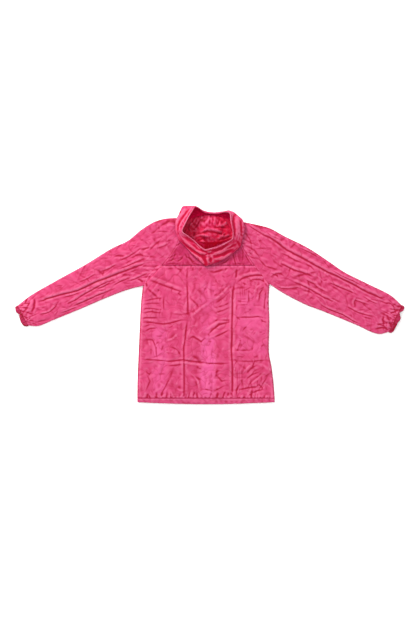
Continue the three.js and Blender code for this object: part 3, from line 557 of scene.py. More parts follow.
def back_place(u, v):
    y = mix(HEM_Y - 1, YOKE_SEAM_Y + YOKE_LAP, v)
    open_side = y < SIDE_SEAM_TOP
    lap = np.where(open_side, 0.1, -0.4)
    left, right = edge_x("left", y) + lap, edge_x("right", y) - lap
    x = mix(left, right, mix(u, smooth(u), 0.12))
    inset = np.minimum(x - left, right - x)
    height = rounded(np.where(open_side, inset, 99))
    creased = folds(x, y, BACK_CREASES, wander=1.5) * (1 - 0.4 * smooth((26 - np.abs(x + 3)) / 10))
    rise = 0.55 * creased + 1.2 * waves(x, y, 120, 5) + 0.6 * waves(x, y, 38, 6) + 2.2
    fade = smooth((inset + 1) / np.where(open_side, 9, 5)) * smooth((y - HEM_Y) / 5 + 0.25)
    fade = fade * smooth((YOKE_SEAM_Y - y) / 5 + 0.2)
    rise = np.maximum(rise, -0.4) * fade
    # Tone for painted shade and highlight: the folds, random waves, painted shade along the hem line and along the
    # edges, most down the left side, and a painted highlight on a ridge just under the yoke seam.
    tone = creased + 0.3 * waves(x, y, 26, 7) - 0.9 * np.exp(-((y - HEM_Y - 1) / 1.6) ** 2)
    tone += 0.5 * np.exp(-((y - YOKE_SEAM_Y + 5) / 2.2) ** 2)
    tone -= np.where(open_side, np.where(u < 0.5, 2.4, 1.3), 0.4) * np.exp(-((inset / 3.5) ** 2))
    return np.stack([x, y, EDGE_RADIUS + EDGE_RADIUS * height + rise], -1), tone


back = cloth_piece("back_cloth", 206, 226, back_place, shell, blur=4)
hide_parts("back_panel")


def set_under(piece, boxes):
    """Marks where doubled cloth beneath brightens the colour: soft-edged boxes of x0, y0, x1, y1, strength."""
    x, y = plan_of(piece)
    mark = np.zeros(len(x))
    for x0, y0, x1, y1, strength in boxes:
        ragged = 5 * waves(x, y, 46, 41)
        inside = smooth((x - x0 + ragged) / 14 + 0.5) * smooth((x1 - x + ragged) / 14 + 0.5)
        inside *= smooth((y - y0) / 30 + 0.5) * smooth((y1 - y) / 30 + 0.5)
        inside *= 0.8 + 0.3 * waves(x, y, 60, 42)
        mark = np.maximum(mark, strength * inside)
    set_mark(piece.data, "under", mark)


set_under(back, [(-24, -283, 18, -96, 1.0), (-24, -96, 18, 60, 0.45), (-168, -268, -126, -70, 0.6),
                 (84, -150, 174, 30, 0.4)])

# Yoke: the shallow piece across the shoulders. Its lower edge is folded under and top-stitched over the
# back panel, and its upper edge is sewn into the neck with the hood.
YOKE_STEP = 1.7
YOKE_CREASES = [
    (-1.6, 2.4, 0, [(73, 156), (73, 144), (81, 114)]),
    (1.0, 3.0, 0, [(82, 162), (84, 141), (92, 117)]),
    (-1.6, 2.6, 0.2, [(-98, 125), (-87, 132), (-75, 141)]),
    (1.3, 3.2, 0, [(-105, 132), (-90, 140), (-78, 148)]),
    (-1.8, 2.6, 0, [(-58, 134), (-46, 121), (-24, 117)]),
    (-1.2, 2.4, 0, [(-75, 156), (-66, 141), (-48, 130)]),
    (1.1, 2.8, 0, [(-66, 162), (-54, 144), (-36, 132)]),
    (-1.2, 2.4, 0, [(-117, 123), (-104, 142), (-99, 162)]),
    (-1.3, 2.4, 0, [(-147, 126), (-114, 141), (-90, 154)]),
    (-1.0, 2.2, 0, [(-138, 119), (-102, 121), (-69, 120)]),
    (-1.1, 2.2, 0, [(27, 117), (51, 126), (66, 140)]),
    (1.1, 2.8, 0, [(24, 122), (42, 133), (60, 144)]),
    (-1.0, 2.4, 0, [(98, 174), (102, 147), (99, 123)]),
    (-1.0, 2.4, 0, [(108, 156), (114, 138), (124, 123)]),
    (-0.9, 2.2, 0, [(51, 119), (87, 122), (123, 120)]),
    (-2.2, 2.2, 0.3, [(-127, 158), (-116, 166), (-103, 171), (-93, 176), (-84, 184)]),
    (1.2, 2.8, 0, [(-130, 150), (-112, 160), (-98, 166)]),
    (-1.7, 3.0, 0.3, [(-129, 124), (-116, 129), (-101, 135), (-88, 139), (-77, 141)]),
    (-1.8, 2.6, 0.3, [(-64, 150), (-60, 139), (-50, 128), (-34, 121)]),
    (1.3, 2.8, 0, [(-55, 146), (-50, 137), (-38, 130)]),
] + scattered(22, 50, (-140, 118, 140, 220), 28, 0.7, 2.2)
YOKE_CREASES += drawn_in(36, [(-160, YOKE_SEAM_Y), (150, YOKE_SEAM_Y)], 11, 12, 0.7)


def yoke_place(u, v):
    side_y = mix(YOKE_SEAM_Y, neck_point(190)[1], v)
    left = np.stack([edge_x("left", side_y) - 0.4, side_y], -1)
    right = np.stack([edge_x("right", side_y) + 0.4, side_y], -1)
    neck = neck_point(mix(190, 350, u))
    chord = mix(neck_point(190), neck_point(350), u[:, None])
    p = mix(left, right, u[:, None]) + (neck - chord) * (v**1.5)[:, None]
    x, y = p.T
    inset = np.hypot((right - left)[:, 0], 0) * np.minimum(u, 1 - u)
    step = YOKE_STEP * (1 - smooth((y - YOKE_SEAM_Y - YOKE_LAP - 1) / 8))
    creased = folds(x, y, YOKE_CREASES, wander=1.5)
    rise = 0.7 * creased + 0.8 * waves(x, y, 60, 8) + 1.0
    rise = np.maximum(rise, -0.5) * smooth((inset + 1) / 5) * smooth((y - YOKE_SEAM_Y + 2) / 5) * smooth((1 - v) / 0.1)
    # Tone for painted shade and highlight: the folds, painted shade along the lower edge where it steps down onto the
    # back, and along the side edges a painted highlight 4 mm in with painted shade at the edge itself.
    tone = creased + 0.3 * waves(x, y, 26, 18) - 1.0 * np.exp(-((y - YOKE_SEAM_Y - 0.5) / 2) ** 2)
    tone += 0.7 * np.exp(-(((inset - 4) / 1.8) ** 2)) - 0.7 * np.exp(-((inset / 1.8) ** 2))
    ceiling = mix(12, 7.2, smooth((y - 152) / 20))  # lower where the hood lies on it
    return np.stack([x, y, np.minimum(2 * EDGE_RADIUS + step + rise, ceiling)], -1), tone


# The yoke's nylon is a darker copy of the shell's: painted shade, as of the hood lying over it.
shaded_yoke_shell = nylon("yoke_shaded_nylon", dyed(218, 54, 108), dyed(172, 0, 54), dyed(242, 98, 146))
yoke = cloth_piece("yoke_cloth", 176, 64, yoke_place, shaded_yoke_shell, thick=0.8)
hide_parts("back_yoke")

# Fronts: the left and right pieces that lie face down on the surface and meet at the zip. Inside the
# neck, what shows through the hood is their wrong side.
HALF_SLIT = 5.5
FRONT_TURN = 7 / 24  # share of the length at which the side seam ends and the raglan seam starts
ARMPIT_Y = 57
FLAP_HALF = 18
SLIDER_RISE = {"y": 224.5, "height": 5.8, "reach_x": 42, "reach_y": 37.5}
SLIDER_TOP = {"y": 229, "height": 1.8, "reach": 24}
FRONT_CREASES = [
    (2.6, 5.0, 0.2, [(-30, 213), (-3, 225), (27, 219), (60, 210)]),
    (-2.0, 3.0, 0, [(-39, 204), (-6, 218), (27, 212), (63, 201)]),
    (2.4, 5.0, 0, [(-15, 228), (-9, 246), (9, 262)]),
    (-1.8, 3.0, 0, [(-27, 225), (-21, 249), (-12, 267)]),
    (2.2, 4.0, 0, [(15, 231), (18, 252), (21, 267)]),
    (-1.6, 2.6, 0, [(26, 234), (30, 252), (30, 270)]),
    (2.0, 4.0, 0, [(30, 228), (45, 240), (60, 249)]),
    (-1.8, 2.8, 0, [(9, 225), (33, 231), (60, 228)]),
    (2.0, 4.0, 0, [(-51, 198), (-27, 207), (-6, 204), (15, 189)]),
    (-1.8, 3.0, 0, [(-39, 189), (-18, 195), (-3, 183), (6, 168)]),
    (2.0, 4.0, 0, [(21, 195), (42, 204), (66, 210)]),
    (-1.6, 3.0, 0, [(15, 180), (36, 192), (63, 198)]),
    (1.8, 3.0, 0, [(-60, 231), (-45, 249), (-33, 270)]),
    (-1.8, 3.0, 0, [(-51, 219), (-36, 234), (-24, 258)]),
    (-1.4, 2.4, 0, [(0, 234), (3, 252), (6, 270)]),
] + scattered(23, 60, (-85, 150, 90, 262), 22, 1.6, 2.4) + scattered(37, 90, (-210, -280, 190, 150), 46, 1.0, 4.5)


def under_rise(x, y):
    """How far the zip and the cloth round it stand up off the surface, over the slider."""
    away = np.hypot((x - ZIP_X) / SLIDER_RISE["reach_x"], (y - SLIDER_RISE["y"]) / SLIDER_RISE["reach_y"])
    return SLIDER_RISE["height"] * (1 - smooth((away - 0.5) / 0.5))


def over_slider(x, y):
    """How much further the slider pushes up the cloth just over it."""
    away = np.hypot(x - ZIP_X, y - SLIDER_TOP["y"]) / SLIDER_TOP["reach"]
    return SLIDER_TOP["height"] * (1 - smooth((away - 0.45) / 0.55))


def front_place(which):
    side = OUTLINE[which]

    def place(u, v):
        lower = v <= FRONT_TURN
        on_side = along(side["side"], np.clip(v / FRONT_TURN, 0, 1))
        on_seam = along(side["front_seam"], np.clip((v - FRONT_TURN) / (1 - FRONT_TURN), 0, 1))
        outer = np.where(lower[:, None], on_side, on_seam)
        zip_x = ZIP_X + side["sign"] * HALF_SLIT
        above = (v - FRONT_TURN) / (1 - FRONT_TURN)
        zip_y = np.where(lower, mix(HEM_Y, ARMPIT_Y, v / FRONT_TURN), mix(ARMPIT_Y, neck_line(zip_x), above))
        x, y = mix(outer[:, 0], zip_x, u), mix(outer[:, 1], zip_y, u)
        to_neck = smooth((v - 0.9) / 0.1) * smooth(u * (1 - u) * 8)
        y = mix(y, np.maximum(y, neck_line(x)), to_neck)
        under_hood = 3 * smooth((v - 0.94) / 0.06)
        from_middle = np.stack([x, y - NECK["y"]]) / np.hypot(x, y - NECK["y"])
        x, y = x + under_hood * from_middle[0], y + under_hood * from_middle[1]
        inset = u * np.abs(outer[:, 0] - zip_x)
        height = rounded(np.where(lower, inset, 99))
        inside_neck = smooth((y - 150) / 30)
        creased = folds(x, y, FRONT_CREASES, wander=1.0) + 0.6 * waves(x, y, 16, 19) * inside_neck
        fade = smooth(inset / 14) * smooth((1 - u) * 190 / 18) * smooth((y - HEM_Y) / 8) * smooth((1 - v) / 0.03)
        rise = np.maximum(creased, 0) * 0.9 * fade * (1 - inside_neck)
        beside = np.abs(x - ZIP_X) - FLAP_HALF
        level_with_flap = (5.4 + over_slider(x, y)) * (1 - 0.7 * smooth((beside - 8) / 24))
        level_with_flap += np.maximum(1.3 * creased, -1)
        rise += level_with_flap * smooth((beside + 1.8) / 1.4) * inside_neck * smooth((1 - v) / 0.04)
        return np.stack([x, y, EDGE_RADIUS * (1 - height) + under_rise(x, y) + rise], -1), creased

    return place


# The wrong side's shade colour is painted shade for the cloth deep inside the neck.
lining_side = nylon("wrong_side_nylon", dyed(236, 60, 114), dyed(186, 0, 54), dyed(252, 112, 154), gloss=0.08,
                    shade_colour=dyed(228, 0, 60, light=1.5))


def paint_neck_shade(piece, amount):
    """Marks painted shade on the cloth down inside the neck, which light reaches only off other pink cloth, with less
    of it on a lit patch in the middle.
    """
    x, y = plan_of(piece)
    lit = np.exp(-(np.hypot((x + 2) / 30, (y - 242) / 24) ** 2))
    from_neck = np.hypot(x / NECK["half_width"], (y - NECK["y"]) / NECK["half_depth"])
    set_mark(piece.data, "painted_shade", amount * smooth((1.15 - from_neck) / 0.1) * (1 - 0.85 * lit))


for which in ("left", "right"):
    front = cloth_piece(f"front_cloth_{which}", 76, 170, front_place(which), shell, lining_side, up=False)
    paint_neck_shade(front, 0.8)
    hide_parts(f"front_{which}")

# Sleeves: one raglan piece each, folded flat along the shoulder and sewn along the underarm, with long
# fallen folds down it. The tube is open at the cuff.
UPPER_SHARE = 0.64  # of the way round, on the upper layer
SLEEVE_LENGTH = 470
# Folds that have fallen over, down the length of each sleeve: height, width, the side their ridge is on, foot.
SLEEVE_TUCKS = {
    "left": [
        (4.4, 7, 1, [(-515, 5), (-496, 10), (-486, 16), (-455, 24), (-418, 33), (-392, 40), (-369, 51), (-351, 60),
                     (-312, 75), (-270, 92), (-231, 106), (-198, 117)]),
        (2.8, 5.5, 1, [(-431, -2), (-403, 10), (-369, 32), (-335, 50), (-303, 66), (-270, 78)]),
        (3.0, 5, 1, [(-418, -13), (-387, 2), (-351, 18), (-317, 32), (-291, 45)]),
        (2.4, 4.5, 1, [(-481, -26), (-468, -16), (-455, -4)]),
        (2.0, 4, 1, [(-509, -32), (-489, -28), (-471, -21)]),
        (1.8, 4, 1, [(-447, -28), (-423, -21), (-393, -8)]),
        (2.2, 4.5, 1, [(-339, 42), (-315, 52), (-291, 69)]),
        (2.2, 4.5, 1, [(-291, 54), (-261, 69), (-234, 80)]),
        (2.2, 4.5, 1, [(-273, 102), (-246, 113), (-216, 126), (-189, 139)]),
        (2.2, 4, 1, [(-243, 67), (-219, 76), (-198, 86), (-177, 97)]),
        (2.0, 4, 1, [(-237, 109), (-207, 116), (-180, 126)]),
        (1.8, 4, 1, [(-159, 165), (-135, 174), (-114, 185)]),
        (1.8, 4, 1, [(-267, 132), (-240, 142), (-213, 158)]),
        (1.6, 3.6, 1, [(-327, 96), (-297, 107), (-273, 120)]),
        (1.6, 3.6, 1, [(-438, 19), (-408, 27), (-378, 38)]),
        (1.6, 3.4, 1, [(-393, 63), (-363, 76), (-336, 93)]),
        (1.8, 3.6, -1, [(-132, 249), (-115, 242), (-100, 238)]),
    ],
    "right": [
        (4.8, 7.5, 1, [(159, 211), (180, 200), (202, 186), (232, 162), (266, 145), (303, 124), (340, 104), (374, 87),
                       (405, 72), (442, 53), (476, 34), (499, 25), (530, 11)]),
        (2.4, 4.5, 1, [(357, 107), (394, 85), (428, 70), (467, 50)]),
        (3.0, 5.5, 1, [(202, 127), (230, 114), (255, 101), (286, 93), (317, 79)]),
        (2.6, 5, 1, [(352, 68), (386, 53), (419, 39), (445, 28)]),
        (2.8, 5, 1, [(244, 70), (272, 59), (306, 42), (340, 22), (382, 2)]),
        (3.0, 4.6, 1, [(329, 2), (357, -15), (400, -32), (431, -51), (459, -63)]),
        (1.8, 4.5, 1, [(402, -3), (442, -23), (471, -33), (499, -40)]),
        (2.0, 3.8, 1, [(196, 56), (216, 46), (244, 46), (264, 49), (285, 42)]),
        (2.4, 4.2, 1, [(112, 240), (135, 225), (158, 211), (183, 195)]),
        (2.0, 3.6, 1, [(171, 215), (186, 204), (212, 193)]),
        (1.8, 4, 1, [(207, 156), (237, 143), (267, 128), (291, 116)]),
        (1.6, 4, 1, [(309, 63), (330, 47), (357, 33)]),
        (1.6, 3.6, 1, [(270, 169), (300, 155), (333, 136)]),
        (1.6, 3.6, 1, [(288, 74), (309, 63), (327, 58)]),
        (1.8, 3.2, 1, [(183, 81), (201, 92), (222, 93)]),
        (1.6, 3.4, 1, [(429, 15), (456, 5), (483, -4)]),
        (1.4, 3.4, 1, [(459, 24), (483, 9), (507, -1)]),
        (1.5, 3.4, -1, [(444, 21), (435, 6), (438, -12)]),
    ],
}
# Hollows of the gathered ends.
SLEEVE_CREASES = {
    "left": [
        (-2.2, 3.0, 0, [(-214, 76), (-206, 72), (-197, 66)]),
        (-0.8, 6.0, 0.5, [(-174, 205), (-158, 186), (-148, 176)]),
        (-1.4, 5.0, 0, [(-149, 234), (-126, 242), (-104, 241)]),
        (-3.0, 4.0, 0, [(-523, 20), (-522, 3), (-524, -10), (-536, -29)]),
        (-2.6, 2.8, 0, [(-569, -29), (-559, -34), (-546, -42), (-541, -51)]),
        (-2.0, 2.6, 0, [(-564, -15), (-549, -11), (-534, -9)]),
        (-2.0, 2.6, 0, [(-555, -57), (-540, -52), (-522, -51)]),
        (-1.8, 3.0, 0, [(-525, -58), (-501, -50), (-477, -45)]),
        (-1.8, 3.0, 0, [(-465, -43), (-435, -31), (-411, -20)]),
        (1.8, 4.0, 0, [(-546, -24), (-534, -3), (-534, 15)]),
        (-1.6, 2.6, 0, [(-555, 2), (-540, 1), (-528, 9)]),
    ],
    "right": [
        (-2.8, 3.6, 0, [(523, -32), (521, -46), (526, -72)]),
        (-1.8, 2.6, 0, [(184, 92), (193, 90), (203, 86), (209, 77)]),
        (-2.6, 2.8, 0, [(538, -30), (555, -24), (570, -15)]),
        (-2.4, 2.8, 0, [(550, -46), (547, -60), (555, -74)]),
        (2.0, 3.4, 0, [(534, -42), (537, -60), (534, -78)]),
        (-2.0, 2.4, 0, [(561, -30), (567, -42), (564, -57)]),
        (-1.6, 3.0, 0, [(507, 12), (531, 2), (549, 0)]),
        (-1.8, 2.6, 0, [(501, -57), (519, -64), (537, -75)]),
    ],
}
for which, box, flow in (("left", (-560, -60, -110, 240), 24), ("right", (100, -90, 560, 230), -27)):
    side = OUTLINE[which]
    creases = SLEEVE_CREASES[which]
    for row in SLEEVE_TUCKS[which]:
        creases += tuck(*row)
    creases += scattered(24, 300, box, 46, 0.8, 2.0, flow=flow)
    creases += scattered(25, 90, box, 110, 1.1, 2.8, flow=flow)
    shoulder_box = (-250, 20, -90, 240) if which == "left" else (80, 10, 250, 240)
    creases += scattered(26, 55, shoulder_box, 28, 0.6, 2.1)
    cuff_line = [side["shoulder"][-1], side["underarm"][-1]][::-side["sign"]]
    creases += drawn_in(27, cuff_line, 4.5, 38, 2.0, 2.3)


def head_line(side, upper, share):
    """Where a sleeve starts: its raglan seam from the armpit, then a short run of neck seam to the shoulder."""
    seam = side["back_seam"] if upper else side["front_seam"]
    length = np.hypot(*np.diff(seam, axis=0).T).sum()
    turn = 3.2 / math.dist(side["armpit"], neck_point(side["fold"]))
    step = np.interp(share, [0, turn, 1 - turn, 1], [0, 2, 18, 20])
    if upper:
        at_yoke = np.interp(YOKE_SEAM_Y, seam[:, 1], np.linspace(0, 1, len(seam)))
        reached = np.concatenate([[0], np.cumsum(np.hypot(*np.diff(seam, axis=0).T))]) / length
        at_yoke = np.interp(at_yoke, np.linspace(0, 1, len(seam)), reached)
        seam_share = np.interp(step, [0, 2, 7, 16], [0, 3.2 / length, at_yoke, 1])
        last, from_angle = 16, side["back"]
    else:
        seam_share = np.interp(step, [0, 2, 17], [0, 3.2 / length, 1])
        last, from_angle = 17, side["front"]
    to_angle = side["fold"]
    on_neck = neck_point(mix(from_angle, to_angle, np.clip((step - last) / (20 - last), 0, 1)))
    return np.where((step <= last)[:, None], along(seam, seam_share), on_neck)


def sleeve_ring(which, u, v):
    """Points round the sleeve: out over the upper layer to the shoulder, and back under the lower one."""
    side = OUTLINE[which]
    upper = u <= UPPER_SHARE
    t = np.where(upper, u / UPPER_SHARE, (1 - u) / (1 - UPPER_SHARE))
    s = mix(t, (1 - np.cos(math.pi * t)) / 2, 0.4)
    low, high = along(side["underarm"], v), along(side["shoulder"], v)
    line = np.where(upper[:, None], head_line(side, True, s), head_line(side, False, s))
    chord = mix(side["armpit"], neck_point(side["fold"]), s[:, None])
    pull = ((1 - smooth(v / 0.5)) * (1 - v))[:, None]
    p = mix(low, high, s[:, None]) + (line - chord) * pull
    x, y = p.T
    width = np.hypot(*(high - low).T)
    inset = np.minimum(s, 1 - s) * width
    height = rounded(inset)
    crown = np.sin(math.pi * np.clip(s, 0, 1)) ** 0.8
    to_cuff = smooth((v - 0.86) / 0.14)
    seam_mm = v * SLEEVE_LENGTH
    gather = waves(s * width, seam_mm, 26, 30 + side["sign"]) + 0.7 * waves(s * width, seam_mm, 13, 32)
    creased = folds(x, y, SLEEVE_CREASES[which], wander=0.8)
    loose = creased + 1.4 * waves(x, y, 90, 9 + side["sign"]) + 0.6 * waves(x, y, 34, 12)
    air = mix(3.4 * smooth(v / 0.2), 5.0, to_cuff)
    edge = smooth((inset + 0.5) / 9)
    top = 0.62 * loose * smooth((seam_mm + 1) / 6) * mix(1, 0.8, to_cuff) + to_cuff * (0.6 * gather + 1.0)
    top = top * edge + air * crown
    bottom = (np.maximum(loose, 0) * 0.35 * smooth(seam_mm / 16) + 0.5 * to_cuff * (gather + 1.2)) * edge * crown
    rise = np.where(upper, np.maximum(top, -0.5), bottom)
    z = EDGE_RADIUS + np.where(upper, 1, -1) * EDGE_RADIUS * height + rise
    from_corner = np.hypot(*(p - neck_point(side["front"])).T)
    z = np.maximum(z, 0.9 * smooth((26 - from_corner) / 12))
    # Tone for painted shade and highlight: the folds and gathers, a little painted shade towards the cuff, painted
    # shade along the head seam and along the folded edges; half as strong on the lower layer.
    tone = creased + 0.3 * waves(x, y, 26, 17) + to_cuff * (0.6 * gather - 0.25) - 0.5 * np.exp(-((seam_mm / 2.6) ** 2))
    return np.stack([x, y, z], -1), np.where(upper, tone, 0.5 * tone) - 0.8 * np.exp(-((inset / 3) ** 2))


for which in ("left", "right"):
    sleeve = cloth_piece(f"sleeve_cloth_{which}", 150, 210, lambda u, v: sleeve_ring(which, u, v), shell, lining_side,
                         wrap=True)
    paint_neck_shade(sleeve, 0.8)
    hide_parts(f"sleeve_{which}")

# Cuffs: the sleeve's end turned in over narrow elastic, which draws it into small gathers.
CUFF_LENGTH = 14
CUFF_CREASES = [
    (-2.6, 3.0, 0, [(581, -7), (572, -14), (563, -23)]),
    (-2.2, 2.4, 0, [(553, -50), (557, -64), (549, -78), (539, -80)]),
    (-2.6, 3.0, 0, [(-567, -28), (-552, -38), (-548, -49)]),
    (-2.2, 2.4, 0, [(-575, -13), (-565, -6), (-554, 2)]),
    (-2.2, 2.2, 0, [(-564, -50), (-558, -61), (-545, -67), (-530, -66)]),
]
CUFF_NOTCH = {"left": (0.63, 6), "right": (0.75, 8.5)}


def cuff_place(which):
    side = OUTLINE[which]
    low, high = side["underarm"][-1], side["shoulder"][-1]
    out = side["sign"] * np.array([high[1] - low[1], low[0] - high[0]]) / math.dist(low, high)

    def place(u, v):
        ring, _ = sleeve_ring(which, u, np.ones_like(u))
        outside = v < 0.55
        far = np.where(outside, v / 0.55, 1 - (v - 0.55) / 0.5)
        across = (ring[:, :2] - low) @ (np.array(high) - low) / math.dist(low, high) ** 2
        at_notch, depth = CUFF_NOTCH[which]
        uneven = 1.8 * waves(across * 80, 40 * (u > UPPER_SHARE), 24, 50 + side["sign"])
        uneven -= 7 * np.exp(-((across / 0.06) ** 2)) + 3 * np.exp(-(((1 - across) / 0.08) ** 2))
        reach = far * (CUFF_LENGTH + uneven - depth * np.exp(-(((across - at_notch) / 0.09) ** 2)))
        turned = smooth((v - 0.5) / 0.1)
        middle = np.array([*mix(low, high, 0.5), EDGE_RADIUS + 3.0])
        ring[:, :2] += out * reach[:, None]
        middle = middle + np.concatenate([out, [0]]) * reach[:, None]
        swell = 0.7 * np.sin(math.pi * np.clip(v / 0.55, 0, 1)) * (1 - turned) - 1.3 * turned
        away = ring - middle
        away[:, :2] -= np.outer(away[:, :2] @ out, out)
        away /= np.maximum(np.linalg.norm(away, axis=1, keepdims=True), 1e-6)
        girth = 170 * np.stack([np.cos(2 * math.pi * u), np.sin(2 * math.pi * u)]) / (2 * math.pi)
        wrinkle = waves(girth[0], girth[1] + 0.3 * far, 8, 52) + 0.8 * waves(girth[0], girth[1] + far, 17, 53)
        wrinkle = 0.9 * wrinkle * (1 - turned)
        points = ring + away * (swell + wrinkle)[:, None]
        points[:, 2] = np.maximum(points[:, 2], np.where(outside, 0.5, 0.9))
        creased = folds(points[:, 0], points[:, 1], CUFF_CREASES) * (u < UPPER_SHARE)
        # Tone for painted shade and highlight: the wrinkles and creases, painted shade all over and more along the join
        # with the sleeve.
        return points, 0.25 * wrinkle + 0.4 * creased - 0.18 - 0.4 * np.exp(-((v / 0.1) ** 2))

    return place


hem_shell = nylon("hem_nylon", dyed(238, 86, 138), dyed(184, 2, 62), dyed(252, 132, 172))
# The cuffs' nylon is a darker copy of the shell's: painted shade of the gathered cuffs.
shaded_cuff_shell = nylon("cuff_shaded_nylon", dyed(222, 64, 116), dyed(164, 0, 50), dyed(244, 116, 158))
for which in ("left", "right"):
    cuff = cloth_piece(f"cuff_cloth_{which}", 180, 24, cuff_place(which), shaded_cuff_shell, wrap=True, blur=0)
    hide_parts(f"cuff_{which}")

# Hems: the lower edge of the back and of each front, turned up double and stitched.
HEM_DEPTH = 12
HEM_SAG = 6
HEM_SIDES = (OUTLINE["left"]["side"][0][0], OUTLINE["right"]["side"][0][0])
HEM_ENDS = (ZIP_X - HALF_SLIT, ZIP_X + HALF_SLIT)


def hem_place(from_x, to_x, upper):
    left, right = HEM_SIDES

    def place(u, v):
        x = mix(from_x, to_x, mix(u, smooth(u), 0.1))
        drop = HEM_DEPTH * v
        sag = HEM_SAG * np.sin(math.pi * (x - left) / (right - left)) * v
        inset = np.minimum(x - left, right - x)
        way = 1 if upper else -1
        ripple = 0.45 * (waves(x, drop * 1.5, 12, 55) + waves(x, drop, 27, 56)) * smooth(v / 0.3)
        rise = (ripple + 0.9) * smooth(inset / 8) * (1 if upper else 0.3)
        turned = -1.2 * smooth((v - 0.86) / 0.14) ** 2 * way
        z = EDGE_RADIUS + way * EDGE_RADIUS * rounded(inset) + rise * (1 if upper else 0.5) + turned
        y = HEM_Y + 0.4 - drop - sag - 0.5 * ripple * v
        # Tone: the ripples, and painted shade along the hem's upper edge.
        return np.stack([x, y, z], -1), ripple * 0.6 - 0.9 * np.exp(-((v - 0.04) / 0.1) ** 2)

    return place


for name, from_x, to_x, upper, on in (
        ("hem_back_cloth", HEM_SIDES[0], HEM_SIDES[1], True, "back_cloth"),
        ("hem_front_cloth_left", HEM_SIDES[0], HEM_ENDS[0], False, "front_cloth_left"),
        ("hem_front_cloth_right", HEM_ENDS[1], HEM_SIDES[1], False, "front_cloth_right")):
    hem = cloth_piece(name, 200 if upper else 90, 9, hem_place(from_x, to_x, upper), hem_shell, up=upper, thick=1.0)
    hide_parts(name.replace("_cloth", ""))
    (to_x - from_x) / 1000

# Wind flap: a doubled strip of the same nylon behind the zip, sewn to the left front. Its top shows
# through the neck as the palest cloth inside the hood.
FLAP_Z = 3.9
FLAP_PAST_NECK = 3


def flap_place(u, v):
    x = ZIP_X + mix(-FLAP_HALF, FLAP_HALF, u)
    top = neck_line(x) + FLAP_PAST_NECK
    y = mix(HEM_Y + 0.5, top, v)
    inside_neck = smooth((y - 150) / 30)
    creased = folds(x, y, FRONT_CREASES, wander=1.0) + 0.6 * waves(x, y, 16, 19)
    ripple = 0.35 * np.sin(y / 9 + 2 * np.sin(y / 50)) * np.sin(math.pi * u) + 0.3
    rise = mix(ripple, np.maximum(1.3 * creased + 1.0, 0), inside_neck * smooth((top - y) / 6))
    z = FLAP_Z + under_rise(x, y) + over_slider(x, y) + rise
    return np.stack([x, y, z], -1), mix(ripple, creased, inside_neck)


flap = cloth_piece("wind_flap_cloth", 22, 230, flap_place, lining_side, thick=0.8)
paint_neck_shade(flap, 0.55)
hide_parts("wind_flap")

# Hood: two halves joined by a seam over the crown, sewn to the neck and thrown back, so that it stands
# rumpled round the neck with its face opening uppermost. A row for each section about the neck's middle.
HOOD_HEIGHTS = np.array([
    # angle, at the roll below, at the rim, at the neck seam
    [-90, 14.2, 33, 7.9], [-52, 12.4, 31, 7.9], [-10, 13.4, 34, 7.9], [10, 13.6, 34, 7.9], [19, 13.2, 33, 7],
    [28, 13, 32, 1.5], [42, 11.4, 24, 1.3], [49, 8.4, 18, 1.3], [56, 5.4, 11, 1.3], [70, 4.4, 8.4, 1.3],
    [90, 4.4, 8.4, 1.3], [106, 5, 10.4, 1.3], [119, 8, 30, 1.3], [129, 10, 34, 1.3], [138, 11.8, 37, 1.3],
    [151, 12.7, 37.7, 1.5], [161, 13, 38, 7], [166, 13.1, 37.8, 7.9],
    [182, 13.4, 37, 7.9], [206, 12.6, 34, 7.9], [234, 12.4, 33, 7.9], [270, 14.2, 33, 7.9],
])
